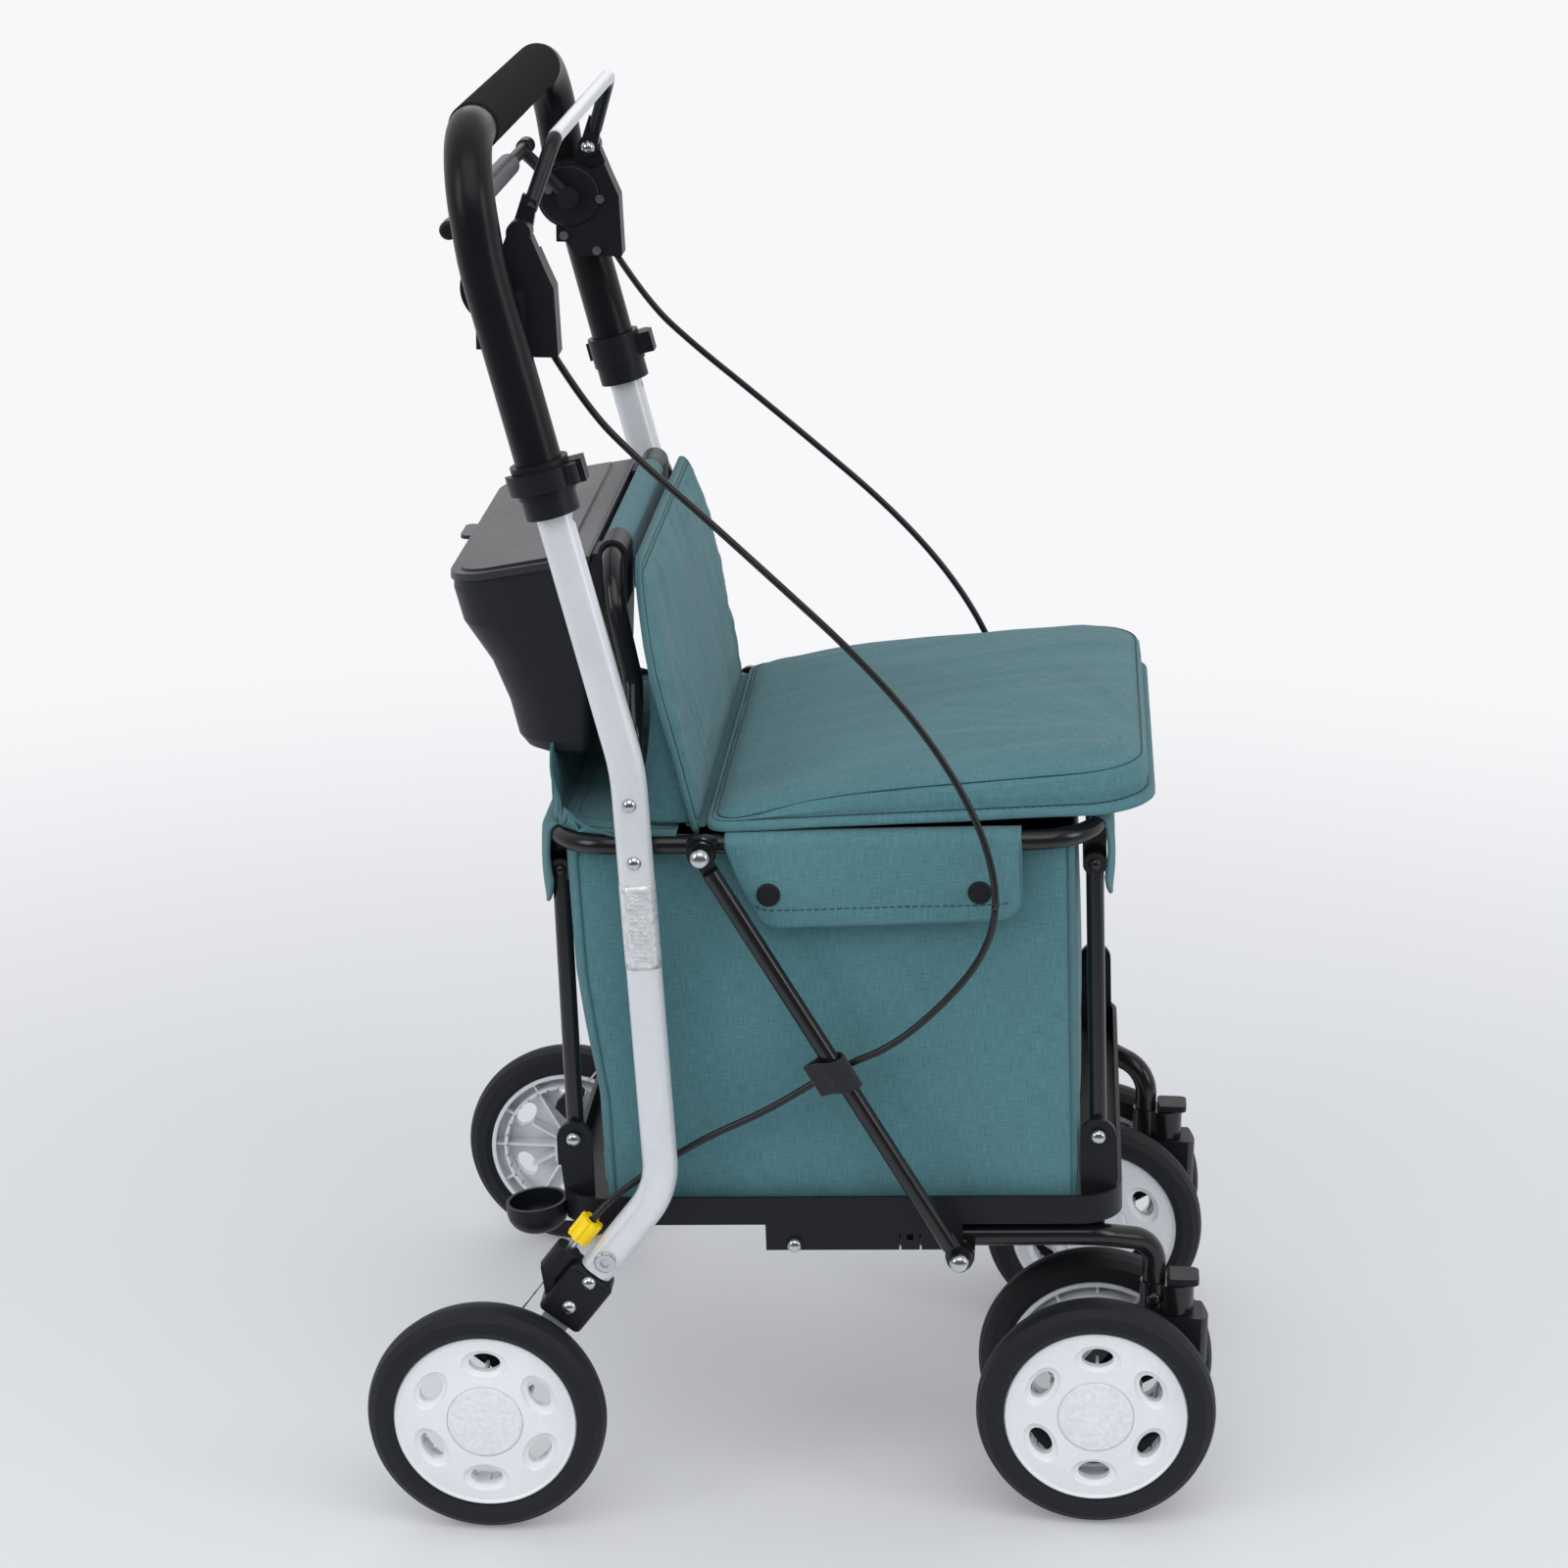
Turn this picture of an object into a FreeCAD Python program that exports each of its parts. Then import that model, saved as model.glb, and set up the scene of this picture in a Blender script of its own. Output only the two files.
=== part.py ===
"""Shopping rollator: side legs with a sliding push handle, seat ring with bag, folding tray frame, six wheels.

X points forward in the direction of travel, Y to the left and Z up. The origin is on the ground, midway between
the wheel axles. Names that end in _out are distances forward of the rear axle. The seat ring, posts, tray and
bag are drawn level, and lean() tips them up at the front by the frame's slope.
"""
import FreeCAD, Part
import math
import os

os.makedirs("parts", exist_ok=True)

V = FreeCAD.Vector
RIGHT = -1
LEFT = 1
SIDES = (RIGHT, LEFT)
SIDE_NAMES = {RIGHT: "right", LEFT: "left"}
Y_AXIS = V(0, 1, 0)
Z_AXIS = V(0, 0, 1)

# Driving dimensions: wheels and track
wheel_diameter = 165.0
tyre_width = 32.0
wheelbase = 417.0
rear_track = 473.0
caster_track = 308.0
twin_spacing = 82.6
disc_radius = 63.5
reflector_radius = 26.0

# Driving dimensions: legs and handle
leg_spacing = 416.0
leg_wide = 24.0
leg_thick = 18.0
leg_wall = 1.6
low_knee_out = 118.5
low_knee_height = 243.0
low_knee_radius = 55.0
high_knee_out = 97.0
high_knee_height = 541.0
high_knee_radius = 160.0
leg_tilt_deg = 15.2
leg_foot_height = 181.0
leg_top_height = 822.0
handle_tube_diameter = 30.5
handle_wall = 1.5
handle_bottom_height = 713.0
handle_bend_height = 872.0
handle_bend_radius = 240.0
grip_height = 950.0
grip_out = -5.0
handle_corner_radius = 50.0
foam_diameter = 33.0
foam_length = 312.0

# Driving dimensions: seat ring, posts, tray
seat_slope_deg = 2.4
ring_height = 480.5
ring_tube_diameter = 13.5
ring_rear_out = 40.5
ring_front_out = 408.0
ring_half_width = 190.0
ring_corner_radius = 45.0
post_top_drop = 25.5
post_bottom_height = 262.0
post_side = 162.0
rear_post_out = 45.0
front_post_out = 404.0
post_diameter = 12.0
tray_rear_out = 34.0
tray_front_out = 420.0
tray_half_width = 190.0
tray_corner_radius = 30.0
tray_bottom_height = 204.5
tray_side_height = 20.0
tray_wall = 3.0

# Driving dimensions: struts
strut_diameter = 12.0
strut_top_out = 145.0
strut_top_lift = 2.9
strut_foot_out = 321.3
strut_foot_height = 199.0
strut_side = 212.0

# Clearances
running_gap = 0.5
seat_gap = 0.3
pin_gap = 0.1
cut_over = 5.0

# Values that follow from the driving dimensions
post_top_height = ring_height - post_top_drop
strut_top_height = ring_height + strut_top_lift
wheel_radius = wheel_diameter / 2
rear_axle_x = -wheelbase / 2
front_axle_x = wheelbase / 2
leg_y = leg_spacing / 2
caster_y = caster_track / 2
rear_wheel_y = rear_track / 2
ring_tube_radius = ring_tube_diameter / 2
handle_radius = handle_tube_diameter / 2
tilt = math.tan(math.radians(leg_tilt_deg))
slide_axis = V(-math.sin(math.radians(leg_tilt_deg)), 0, math.cos(math.radians(leg_tilt_deg)))


def at(out):
    """X of a place given as its distance forward of the rear axle."""
    return rear_axle_x + out


def lean(shape):
    """Tips a level-drawn piece up at the front about the rear of the seat ring."""
    tipped = shape.copy()
    tipped.rotate(V(at(ring_rear_out), 0, ring_height), Y_AXIS, -seat_slope_deg)
    return tipped


def lean_point(point):
    """Where lean() takes a point."""
    return lean(Part.Vertex(point)).Point


def leg_x(height):
    """X of the straight upper leg axis at a height."""
    return at(high_knee_out) - (height - high_knee_height) * tilt


def cylinder(start, direction, radius, length):
    return Part.makeCylinder(radius, length, start, direction)


def rod(a, b, radius):
    """Round bar between two points."""
    return Part.makeCylinder(radius, (b - a).Length, a, b - a)


def block(x0, x1, y0, y1, z0, z1):
    return Part.makeBox(x1 - x0, y1 - y0, z1 - z0, V(x0, y0, z0))


def slab(points, y0, y1):
    """Prism from an outline of (x, z) points, between two Y planes."""
    corners = [V(x, y0, z) for x, z in points]
    face = Part.Face(Part.makePolygon(corners + corners[:1]))
    return face.extrude(V(0, y1 - y0, 0))


def fuse(shapes):
    """One solid from overlapping solids."""
    joined = shapes[0].fuse(shapes[1:]) if len(shapes) > 1 else shapes[0]
    return joined.removeSplitter()


def group(shapes):
    """Separate solids of one node."""
    solids = []
    for shape in shapes:
        solids.extend(shape.Solids)
    return Part.makeCompound(solids)


def both_sides(make):
    """The same piece made for the right and the left side."""
    return [make(side) for side in SIDES]


def mirrored(shape):
    return shape.mirror(V(0, 0, 0), Y_AXIS)


def rounded_rectangle(x0, x1, y0, y1, z, radius):
    """Closed wire of lines and corner arcs in a level plane."""
    turn = radius * (1 - math.sqrt(0.5))
    edges = [
        Part.makeLine(V(x0 + radius, y0, z), V(x1 - radius, y0, z)),
        Part.Arc(V(x1 - radius, y0, z), V(x1 - turn, y0 + turn, z), V(x1, y0 + radius, z)).toShape(),
        Part.makeLine(V(x1, y0 + radius, z), V(x1, y1 - radius, z)),
        Part.Arc(V(x1, y1 - radius, z), V(x1 - turn, y1 - turn, z), V(x1 - radius, y1, z)).toShape(),
        Part.makeLine(V(x1 - radius, y1, z), V(x0 + radius, y1, z)),
        Part.Arc(V(x0 + radius, y1, z), V(x0 + turn, y1 - turn, z), V(x0, y1 - radius, z)).toShape(),
        Part.makeLine(V(x0, y1 - radius, z), V(x0, y0 + radius, z)),
        Part.Arc(V(x0, y0 + radius, z), V(x0 + turn, y0 + turn, z), V(x0 + radius, y0, z)).toShape(),
    ]
    return Part.Wire(edges)


def plate_block(x0, x1, y0, y1, z0, z1, radius):
    """Block with rounded upright corners."""
    return Part.Face(rounded_rectangle(x0, x1, y0, y1, z0, radius)).extrude(V(0, 0, z1 - z0))


def path(points, radii):
    """Wire of straight runs joined by tangent arcs, one radius for each inner point."""
    edges = []
    start = points[0]
    for i in range(1, len(points) - 1):
        before = (points[i] - points[i - 1]).normalize()
        after = (points[i + 1] - points[i]).normalize()
        turn = before.getAngle(after)
        setback = radii[i - 1] * math.tan(turn / 2)
        a = points[i] - before * setback
        b = points[i] + after * setback
        inward = (after - before).normalize()
        mid = points[i] + inward * (radii[i - 1] * (1 / math.cos(turn / 2) - 1))
        if (a - start).Length > Precision:
            edges.append(Part.makeLine(start, a))
        edges.append(Part.Arc(a, mid, b).toShape())
        start = b
    edges.append(Part.makeLine(start, points[-1]))
    return Part.Wire(edges)


Precision = 1e-6


def swept(wire, profile):
    """Solid from a profile wire carried along a path."""
    return wire.makePipeShell([profile], True, False)


def circle_at(point, direction, radius):
    return Part.Wire(Part.makeCircle(radius, point, direction))


def tube(points, radii, radius, wall=0):
    """Round tube along straight runs and tangent arcs, hollow where it has a wall."""
    wire = path(points, radii)
    along = points[1] - points[0]
    solid = swept(wire, circle_at(points[0], along, radius))
    if wall:
        solid = solid.cut(swept(wire, circle_at(points[0], along, radius - wall)))
    return solid


def oval_at(point, along, wide, thick):
    """Flattened oval wire, wide in the XZ plane and thick in Y, square to a direction."""
    across = along.cross(Y_AXIS).normalize()
    flat = (wide - thick) / 2
    r = thick / 2
    side = V(0, 1, 0) * r
    a = point + across * flat
    b = point - across * flat
    edges = [
        Part.makeLine(b - side, a - side),
        Part.Arc(a - side, a + across * r, a + side).toShape(),
        Part.makeLine(a + side, b + side),
        Part.Arc(b + side, b - across * r, b - side).toShape(),
    ]
    return Part.Wire(edges)


def dome_rivet(face_point, outward, radius, shank_length):
    """Domed head on a face, with a shank behind it."""
    direction = V(outward).normalize()
    dome = radius * 0.62
    ball = (radius * radius + dome * dome) / (2 * dome)
    head = Part.makeSphere(ball, face_point - direction * (ball - dome))
    keep = cylinder(face_point, direction, radius + cut_over, ball)
    head = head.common(keep)
    shank = cylinder(face_point - direction * shank_length, direction, radius / 2, shank_length)
    return fuse([head, shank])


# Wheel proportions: the six wheels share one moulding
hub_face = 11.8
tyre_inner_radius = disc_radius
hub_rim_radius = disc_radius - seat_gap
tyre_shoulder = 9.0
hub_bore_radius = 5.2
hub_boss_radius = 13.0
hub_rim_wall = 3.0
hub_rim_lip = 1.6
hub_web = 3.5
hub_dish = 5.0
hub_window_count = 6
hub_window_circle = 43.0
hub_window_long = 11.0
hub_window_short = 7.0
hub_dish_long = 16.0
hub_dish_short = 10.5
hub_rim_rise = 0.9
hub_rib_count = 12
hub_rib = 2.0
tooth_ring_radius = 51.0
tooth_ring_wall = 2.5
tooth_count = 36
tooth_size = 2.0
tooth_depth = 7.0
reflector_thick = 3.0
axle_radius = 5.0


def revolve_about_axle(points):
    """Ring or disc from (radius, y) points, turned about the Y axis."""
    corners = [V(r, y, 0) for r, y in points]
    face = Part.Face(Part.makePolygon(corners + corners[:1]))
    return face.revolve(V(0, 0, 0), Y_AXIS, 360)


def tyre_shape():
    """Foamed tyre with rounded shoulders and one fine crest line on each shoulder."""
    half = tyre_width / 2
    s = tyre_shoulder
    slope = s * 0.3
    outline = [
        (tyre_inner_radius, -half + slope),
        (wheel_radius - s * 1.6, -half),
        (wheel_radius - s * 0.75, -half + s * 0.22),
        (wheel_radius - s * 0.22, -half + s * 0.75),
        (wheel_radius, -half + s * 1.5),
        (wheel_radius, half - s * 1.5),
        (wheel_radius - s * 0.22, half - s * 0.75),
        (wheel_radius - s * 0.75, half - s * 0.22),
        (wheel_radius - s * 1.6, half),
        (tyre_inner_radius, half - slope),
    ]
    return revolve_about_axle(outline)


def hub_shape():
    """Moulded hub: domed face outward at +Y, six dished oval windows, ribbed and toothed inner side."""
    half = tyre_width / 2
    rim = hub_rim_radius
    back = -half + hub_rim_wall
    ledge = rim - hub_rim_wall
    pocket = reflector_radius + seat_gap
    outline = [
        (hub_bore_radius, back),
        (hub_boss_radius, back),
        (hub_boss_radius, hub_face - hub_web * 2),
        (ledge, hub_face - hub_web * 2 - hub_dish),
        (ledge, back - hub_rim_lip),
        (rim, back - hub_rim_lip),
        (rim, hub_face - hub_rim_rise),
        (rim - hub_rim_rise, hub_face),
        (rim - hub_rim_lip, hub_face),
        (rim - hub_rim_wall, hub_face - hub_rim_rise * 1.2),
        (pocket + hub_rim_lip, hub_face),
        (pocket, hub_face),
        (pocket, hub_face - reflector_thick),
        (hub_bore_radius, hub_face - reflector_thick),
    ]
    hub = revolve_about_axle(outline)
    step = 360.0 / hub_window_count
    cutters = []
    for i in range(hub_window_count):
        dish = Part.makeSphere(1)
        dish.rotate(V(0, 0, 0), Z_AXIS, 90)
        stretch = FreeCAD.Matrix()
        stretch.scale(hub_dish_long, hub_dish, hub_dish_short)
        dish = dish.transformGeometry(stretch)
        dish.translate(V(0, hub_face, hub_window_circle))
        window = Part.Wire(Part.Ellipse(V(0, -half, hub_window_circle), hub_window_long, hub_window_short).toShape())
        window.rotate(V(0, -half, hub_window_circle), V(1, 0, 0), 90)
        opening = Part.Face(window).extrude(V(0, tyre_width * 2, 0))
        opening.translate(V(0, -cut_over, 0))
        for cutter in (dish, opening):
            cutter.rotate(V(0, 0, 0), Y_AXIS, i * step)
            cutters.append(cutter)
    hub = hub.cut(cutters)
    teeth = revolve_about_axle([
        (tooth_ring_radius, back),
        (tooth_ring_radius + tooth_ring_wall, back),
        (tooth_ring_radius + tooth_ring_wall, hub_face - hub_web * 2 - hub_dish),
        (tooth_ring_radius, hub_face - hub_web * 2 - hub_dish),
    ])
    notches = []
    for i in range(tooth_count):
        notch = block(-tooth_size / 2, tooth_size / 2, back - cut_over, back + tooth_depth,
                      tooth_ring_radius - tooth_size, tooth_ring_radius + tooth_ring_wall / 2)
        notch.rotate(V(0, 0, 0), Y_AXIS, i * 360.0 / tooth_count)
        notches.append(notch)
    ribs = []
    for i in range(hub_rib_count):
        rib = block(-hub_rib / 2, hub_rib / 2, back + hub_rim_wall, hub_face - hub_web * 2 - hub_dish / 2,
                    hub_boss_radius - 1, ledge + hub_rim_wall / 2)
        rib.rotate(V(0, 0, 0), Y_AXIS, i * 360.0 / hub_rib_count)
        ribs.append(rib.cut(cutters))
    return fuse([hub, teeth.cut(notches)] + ribs)


def reflector_shape():
    """Clear round reflector, slightly domed, seated in the hub face."""
    base = hub_face - reflector_thick
    return revolve_about_axle([
        (0, base),
        (reflector_radius, base),
        (reflector_radius, hub_face),
        (reflector_radius - hub_rim_lip, hub_face + hub_rim_lip / 2),
        (0, hub_face + hub_rim_lip),
    ])


def place_wheel(shape, outward, x, y):
    """Puts a wheel piece on its axle with its face outward."""
    piece = shape.copy()
    if outward < 0:
        piece = mirrored(piece)
    piece.translate(V(x, y, wheel_radius))
    return piece


def wheel_nodes():
    tyre = tyre_shape()
    hub = hub_shape()
    reflector = reflector_shape()
    nodes = {}
    places = []
    for side in SIDES:
        name = SIDE_NAMES[side]
        places.append(("rear_%s" % name, side, rear_axle_x, side * rear_wheel_y))
        centre = side * caster_y
        places.append(("caster_%s_outer" % name, side, front_axle_x, centre + side * twin_spacing / 2))
        places.append(("caster_%s_inner" % name, -side, front_axle_x, centre - side * twin_spacing / 2))
    for name, outward, x, y in places:
        nodes["tyre_" + name] = place_wheel(tyre, outward, x, y)
        nodes["hub_" + name] = place_wheel(hub, outward, x, y)
        nodes["reflector_" + name] = place_wheel(reflector, outward, x, y)
    return nodes


# Leg details
adjust_hole_radius = 3.0
adjust_hole_pitch = 25.0
adjust_hole_count = 5
rivet_radius = 5.0
upper_rivet_height = ring_height + 38.5
lower_rivet_height = ring_height - 1.5
foot_rivet_along = 135.0
foot_rivet_radius = 7.5
foot_rivet_bore = 3.5


def leg_profile_points(y):
    foot_share = (leg_foot_height - wheel_radius) / (low_knee_height - wheel_radius)
    return [
        V(at(low_knee_out * foot_share), y, leg_foot_height),
        V(at(low_knee_out), y, low_knee_height),
        V(at(high_knee_out), y, high_knee_height),
        V(leg_x(leg_top_height), y, leg_top_height),
    ]


def mid_leg_x(height):
    """X of the leg axis between its two knees."""
    share = (height - low_knee_height) / (high_knee_height - low_knee_height)
    return at(low_knee_out + (high_knee_out - low_knee_out) * share)


def leg(side):
    """Silver side leg: flattened oval tube with two knees and adjusting holes at the top front."""
    points = leg_profile_points(side * leg_y)
    wire = path(points, [low_knee_radius, high_knee_radius])
    along = points[1] - points[0]
    outer = swept(wire, oval_at(points[0], along, leg_wide, leg_thick))
    inner = swept(wire, oval_at(points[0], along, leg_wide - 2 * leg_wall, leg_thick - 2 * leg_wall))
    holes = []
    for i in range(adjust_hole_count):
        height = leg_top_height - adjust_hole_pitch * (i + 0.6)
        centre = V(leg_x(height), side * leg_y, height)
        holes.append(cylinder(centre, slide_axis.cross(Y_AXIS) * -1, adjust_hole_radius, leg_wide))
    return outer.cut(inner).cut(holes).cut(leg_rivet_pair(side) + bracket_pins(side))


# Rear axle bracket, measured along the lower leg line from the axle
arm_direction = V(low_knee_out, 0, low_knee_height - wheel_radius).normalize()
arm_across = V(-arm_direction.z, 0, arm_direction.x)
bracket_start = 79.0
bracket_end = 121.5
bracket_wide = 34.0
bracket_thick = 25.0
bracket_round = 4.0
bracket_rivet_alongs = (93.0, 116.0)
lug_offset = 23.6
lug_radius = 9.5
lug_start = 103.0
lug_end = 124.0
lug_root = 88.0
stud_radius = 3.0
nut_start = 134.0
nut_length = 17.0
nut_radius = 8.5
nut_flute_radius = 1.8
nut_flute_count = 8
spigot_length = 24.0
arm_wide = 20.0
arm_thick = 8.0
arm_hidden = 20.0
axle_head_radius = 8.0
axle_nut_thick = 6.0
wire_radius = 0.9
cable_radius = 2.4
spring_radius = 3.0
spring_wire_radius = 0.55
spring_pitch = 2.6
spring_turns = 8


def arm_point(along, offset, y):
    """Point measured along and square to the lower leg line, from the rear axle."""
    base = V(rear_axle_x, y, wheel_radius)
    return base + arm_direction * along + arm_across * offset


def arm_block(along0, along1, offset0, offset1, y0, y1):
    """Block lined up with the lower leg."""
    corners = [arm_point(along0, offset0, y0), arm_point(along1, offset0, y0),
               arm_point(along1, offset1, y0), arm_point(along0, offset1, y0)]
    face = Part.Face(Part.makePolygon(corners + corners[:1]))
    return face.extrude(V(0, y1 - y0, 0))


def axle_bracket(side):
    """Cast bracket that joins leg foot and axle arm, with the lug of the cable adjuster."""
    y = side * leg_y
    half = bracket_thick / 2
    body = arm_block(bracket_start, bracket_end, -bracket_wide / 2, bracket_wide / 2, y - half, y + half)
    body = body.makeFillet(bracket_round, body.Edges)
    low = arm_point(lug_start, lug_offset, y)
    barrel = cylinder(low, arm_direction, lug_radius, lug_end - lug_start)
    web_half = lug_radius * 0.75
    web_points = [
        arm_point(lug_root, bracket_wide / 2 - bracket_round, y - web_half),
        arm_point(lug_end - lug_radius, lug_offset, y - web_half),
        arm_point(lug_start, lug_offset + lug_radius * 0.9, y - web_half),
        arm_point(lug_root, bracket_wide / 2, y - web_half),
    ]
    web = Part.Face(Part.makePolygon(web_points + web_points[:1])).extrude(V(0, 2 * web_half, 0))
    neck = arm_block(lug_start, bracket_end - bracket_round, 0, lug_offset, y - web_half, y + web_half)
    body = fuse([body, barrel, web, neck])
    body = body.cut(cylinder(arm_point(lug_root, lug_offset, y), arm_direction, stud_radius + pin_gap,
                             lug_end - lug_root + cut_over))
    pocket = arm_block(bracket_start - cut_over, bracket_start + arm_hidden, -arm_wide / 2, arm_wide / 2,
                       y - arm_thick / 2, y + arm_thick / 2)
    body = body.cut(pocket)
    spigot_base = arm_point(bracket_end, 0, y)
    spigot = swept(Part.Wire(Part.makeLine(spigot_base, spigot_base + arm_direction * spigot_length)),
                   oval_at(spigot_base, arm_direction, leg_wide - 2 * leg_wall - seat_gap,
                           leg_thick - 2 * leg_wall - seat_gap))
    return fuse([body, spigot]).cut(bracket_pins(side))


def bracket_pins(side):
    """Two domed rivets through the bracket and the large tubular rivet through the leg foot."""
    y_face = side * (leg_y + bracket_thick / 2)
    outward = V(0, side, 0)
    pins = []
    for along in bracket_rivet_alongs:
        pins.append(dome_rivet(arm_point(along, 0, y_face), outward, rivet_radius, bracket_thick))
    face = side * (leg_y + leg_thick / 2)
    head = cylinder(arm_point(foot_rivet_along, 0, face), outward, foot_rivet_radius, rivet_radius / 2)
    head = head.makeFillet(rivet_radius / 4, [head.Edges[0]])
    stem = cylinder(arm_point(foot_rivet_along, 0, face), outward * -1, foot_rivet_radius * 0.6, leg_thick)
    bore = cylinder(arm_point(foot_rivet_along, 0, face + side * cut_over), outward * -1, foot_rivet_bore,
                    leg_thick + 2 * cut_over)
    pins.append(fuse([head, stem]).cut(bore))
    return pins


def leg_rivet_pair(side):
    """Domed rivets that hold the seat ring and backrest frame to the leg."""
    face = side * (leg_y + leg_thick / 2)
    pair = []
    for height in (upper_rivet_height, lower_rivet_height):
        start = V(mid_leg_x(height), face, height)
        pair.append(dome_rivet(start, V(0, side, 0), rivet_radius, leg_thick))
    return pair


def axle_arm(side):
    """Flat steel arm from the bracket to the wheel axle, with its stub axle and brake backing plate."""
    y = side * leg_y
    half = arm_thick / 2
    bar = arm_block(0, bracket_start + arm_hidden, -arm_wide / 2, arm_wide / 2, y - half, y + half)
    end = cylinder(arm_point(0, 0, y - half), Y_AXIS, arm_wide / 2, arm_thick)
    tip = rear_wheel_y + hub_face - reflector_thick - running_gap
    stub = cylinder(arm_point(0, 0, y), V(0, side, 0), axle_radius, tip - leg_y)
    head = cylinder(arm_point(0, 0, side * (leg_y - half)), V(0, -side, 0), axle_head_radius, axle_nut_thick)
    return fuse([bar, end, stub, head]).cut(bracket_pins(side))


# Brake lever inside each rear wheel
lever_pivot_along = 24.0
lever_pivot_offset = -3.0
lever_thick = 5.0
lever_boss_radius = 7.5
lever_wide = 12.0
shoe_along = 30.0
shoe_offset = 27.0
shoe_size = 11.0
shoe_reach = 8.0
wire_eye_along = 47.0
lever_gap = 0.4


def brake_lever(side):
    """Pivoted lever whose block swings out against the toothed ring inside the hub."""
    inner_y = leg_y + arm_thick / 2 + lever_gap
    outer_y = inner_y + lever_thick
    low, high = sorted((side * inner_y, side * outer_y))
    pivot = arm_point(lever_pivot_along, lever_pivot_offset, low)
    shoe = arm_point(shoe_along, shoe_offset, low)
    eye = arm_point(wire_eye_along, lug_offset, low)
    boss = cylinder(pivot, Y_AXIS, lever_boss_radius, high - low)
    parts = [boss]
    for a, b, wide in ((pivot, shoe, lever_wide), (shoe, eye, lever_wide * 0.7)):
        along = (b - a).normalize()
        across = along.cross(Y_AXIS) * (wide / 2)
        corners = [a + across, b + across, b - across, a - across]
        parts.append(Part.Face(Part.makePolygon(corners + corners[:1])).extrude(V(0, high - low, 0)))
        parts.append(cylinder(b, Y_AXIS, wide / 2, high - low))
    face = side * outer_y
    reach = side * (outer_y + shoe_reach)
    near, far = sorted((face - side * lever_thick, reach))
    half = shoe_size / 2
    parts.append(arm_block(shoe_along - half, shoe_along + half, shoe_offset - half, shoe_offset + half * 0.8, near, far))
    lever = fuse(parts)
    pin = cylinder(arm_point(lever_pivot_along, lever_pivot_offset, low - cut_over), Y_AXIS, stud_radius + pin_gap,
                   high - low + 2 * cut_over)
    return lever.cut(pin)


def lever_pin(side):
    """Pivot screw of the brake lever, seated in the axle arm."""
    start = arm_point(lever_pivot_along, lever_pivot_offset, side * (leg_y + arm_thick / 2))
    length = lever_gap + lever_thick + lever_gap
    head = cylinder(start + V(0, side * length, 0), V(0, side, 0), rivet_radius, stud_radius)
    return fuse([cylinder(start, V(0, side, 0), stud_radius, length), head])


def brake_wire(side):
    """Bare inner wire from the lug to the brake lever, with the return spring round it."""
    y = side * (leg_y + arm_thick / 2 + lever_gap + lever_thick / 2)
    start_y = side * leg_y
    start = arm_point(lug_start - seat_gap, lug_offset, start_y)
    stop = arm_point(wire_eye_along + lever_wide, lug_offset, y)
    wire = rod(start, stop, wire_radius)
    return wire


def adjuster_stud(side):
    """Threaded hollow stud that the cable ends in, seated in the lug."""
    start = arm_point(lug_start, lug_offset, side * leg_y)
    length = nut_start + nut_length - seat_gap - lug_start
    return cylinder(start, arm_direction, stud_radius, length)


def adjuster_nut(side):
    """Yellow fluted nut on the stud."""
    start = arm_point(nut_start, lug_offset, side * leg_y)
    nut = cylinder(start, arm_direction, nut_radius, nut_length)
    cuts = [cylinder(start - arm_direction * cut_over, arm_direction, stud_radius + running_gap / 2,
                     nut_length + 2 * cut_over)]
    radial = arm_across * nut_radius
    for i in range(nut_flute_count):
        flute = cylinder(start + radial - arm_direction * cut_over, arm_direction, nut_flute_radius,
                         nut_length + 2 * cut_over)
        flute.rotate(start, arm_direction, i * 360.0 / nut_flute_count)
        cuts.append(flute)
    return nut.cut(cuts)


# Seat ring and its brackets
lug_plate = 3.0
post_lug_wide = 16.0
post_lug_drop_radius = 8.0
strut_lug_wide = 20.0
strut_lug_radius = 10.0
pivot_pin_radius = 3.2
strut_flat = 5.0


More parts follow.
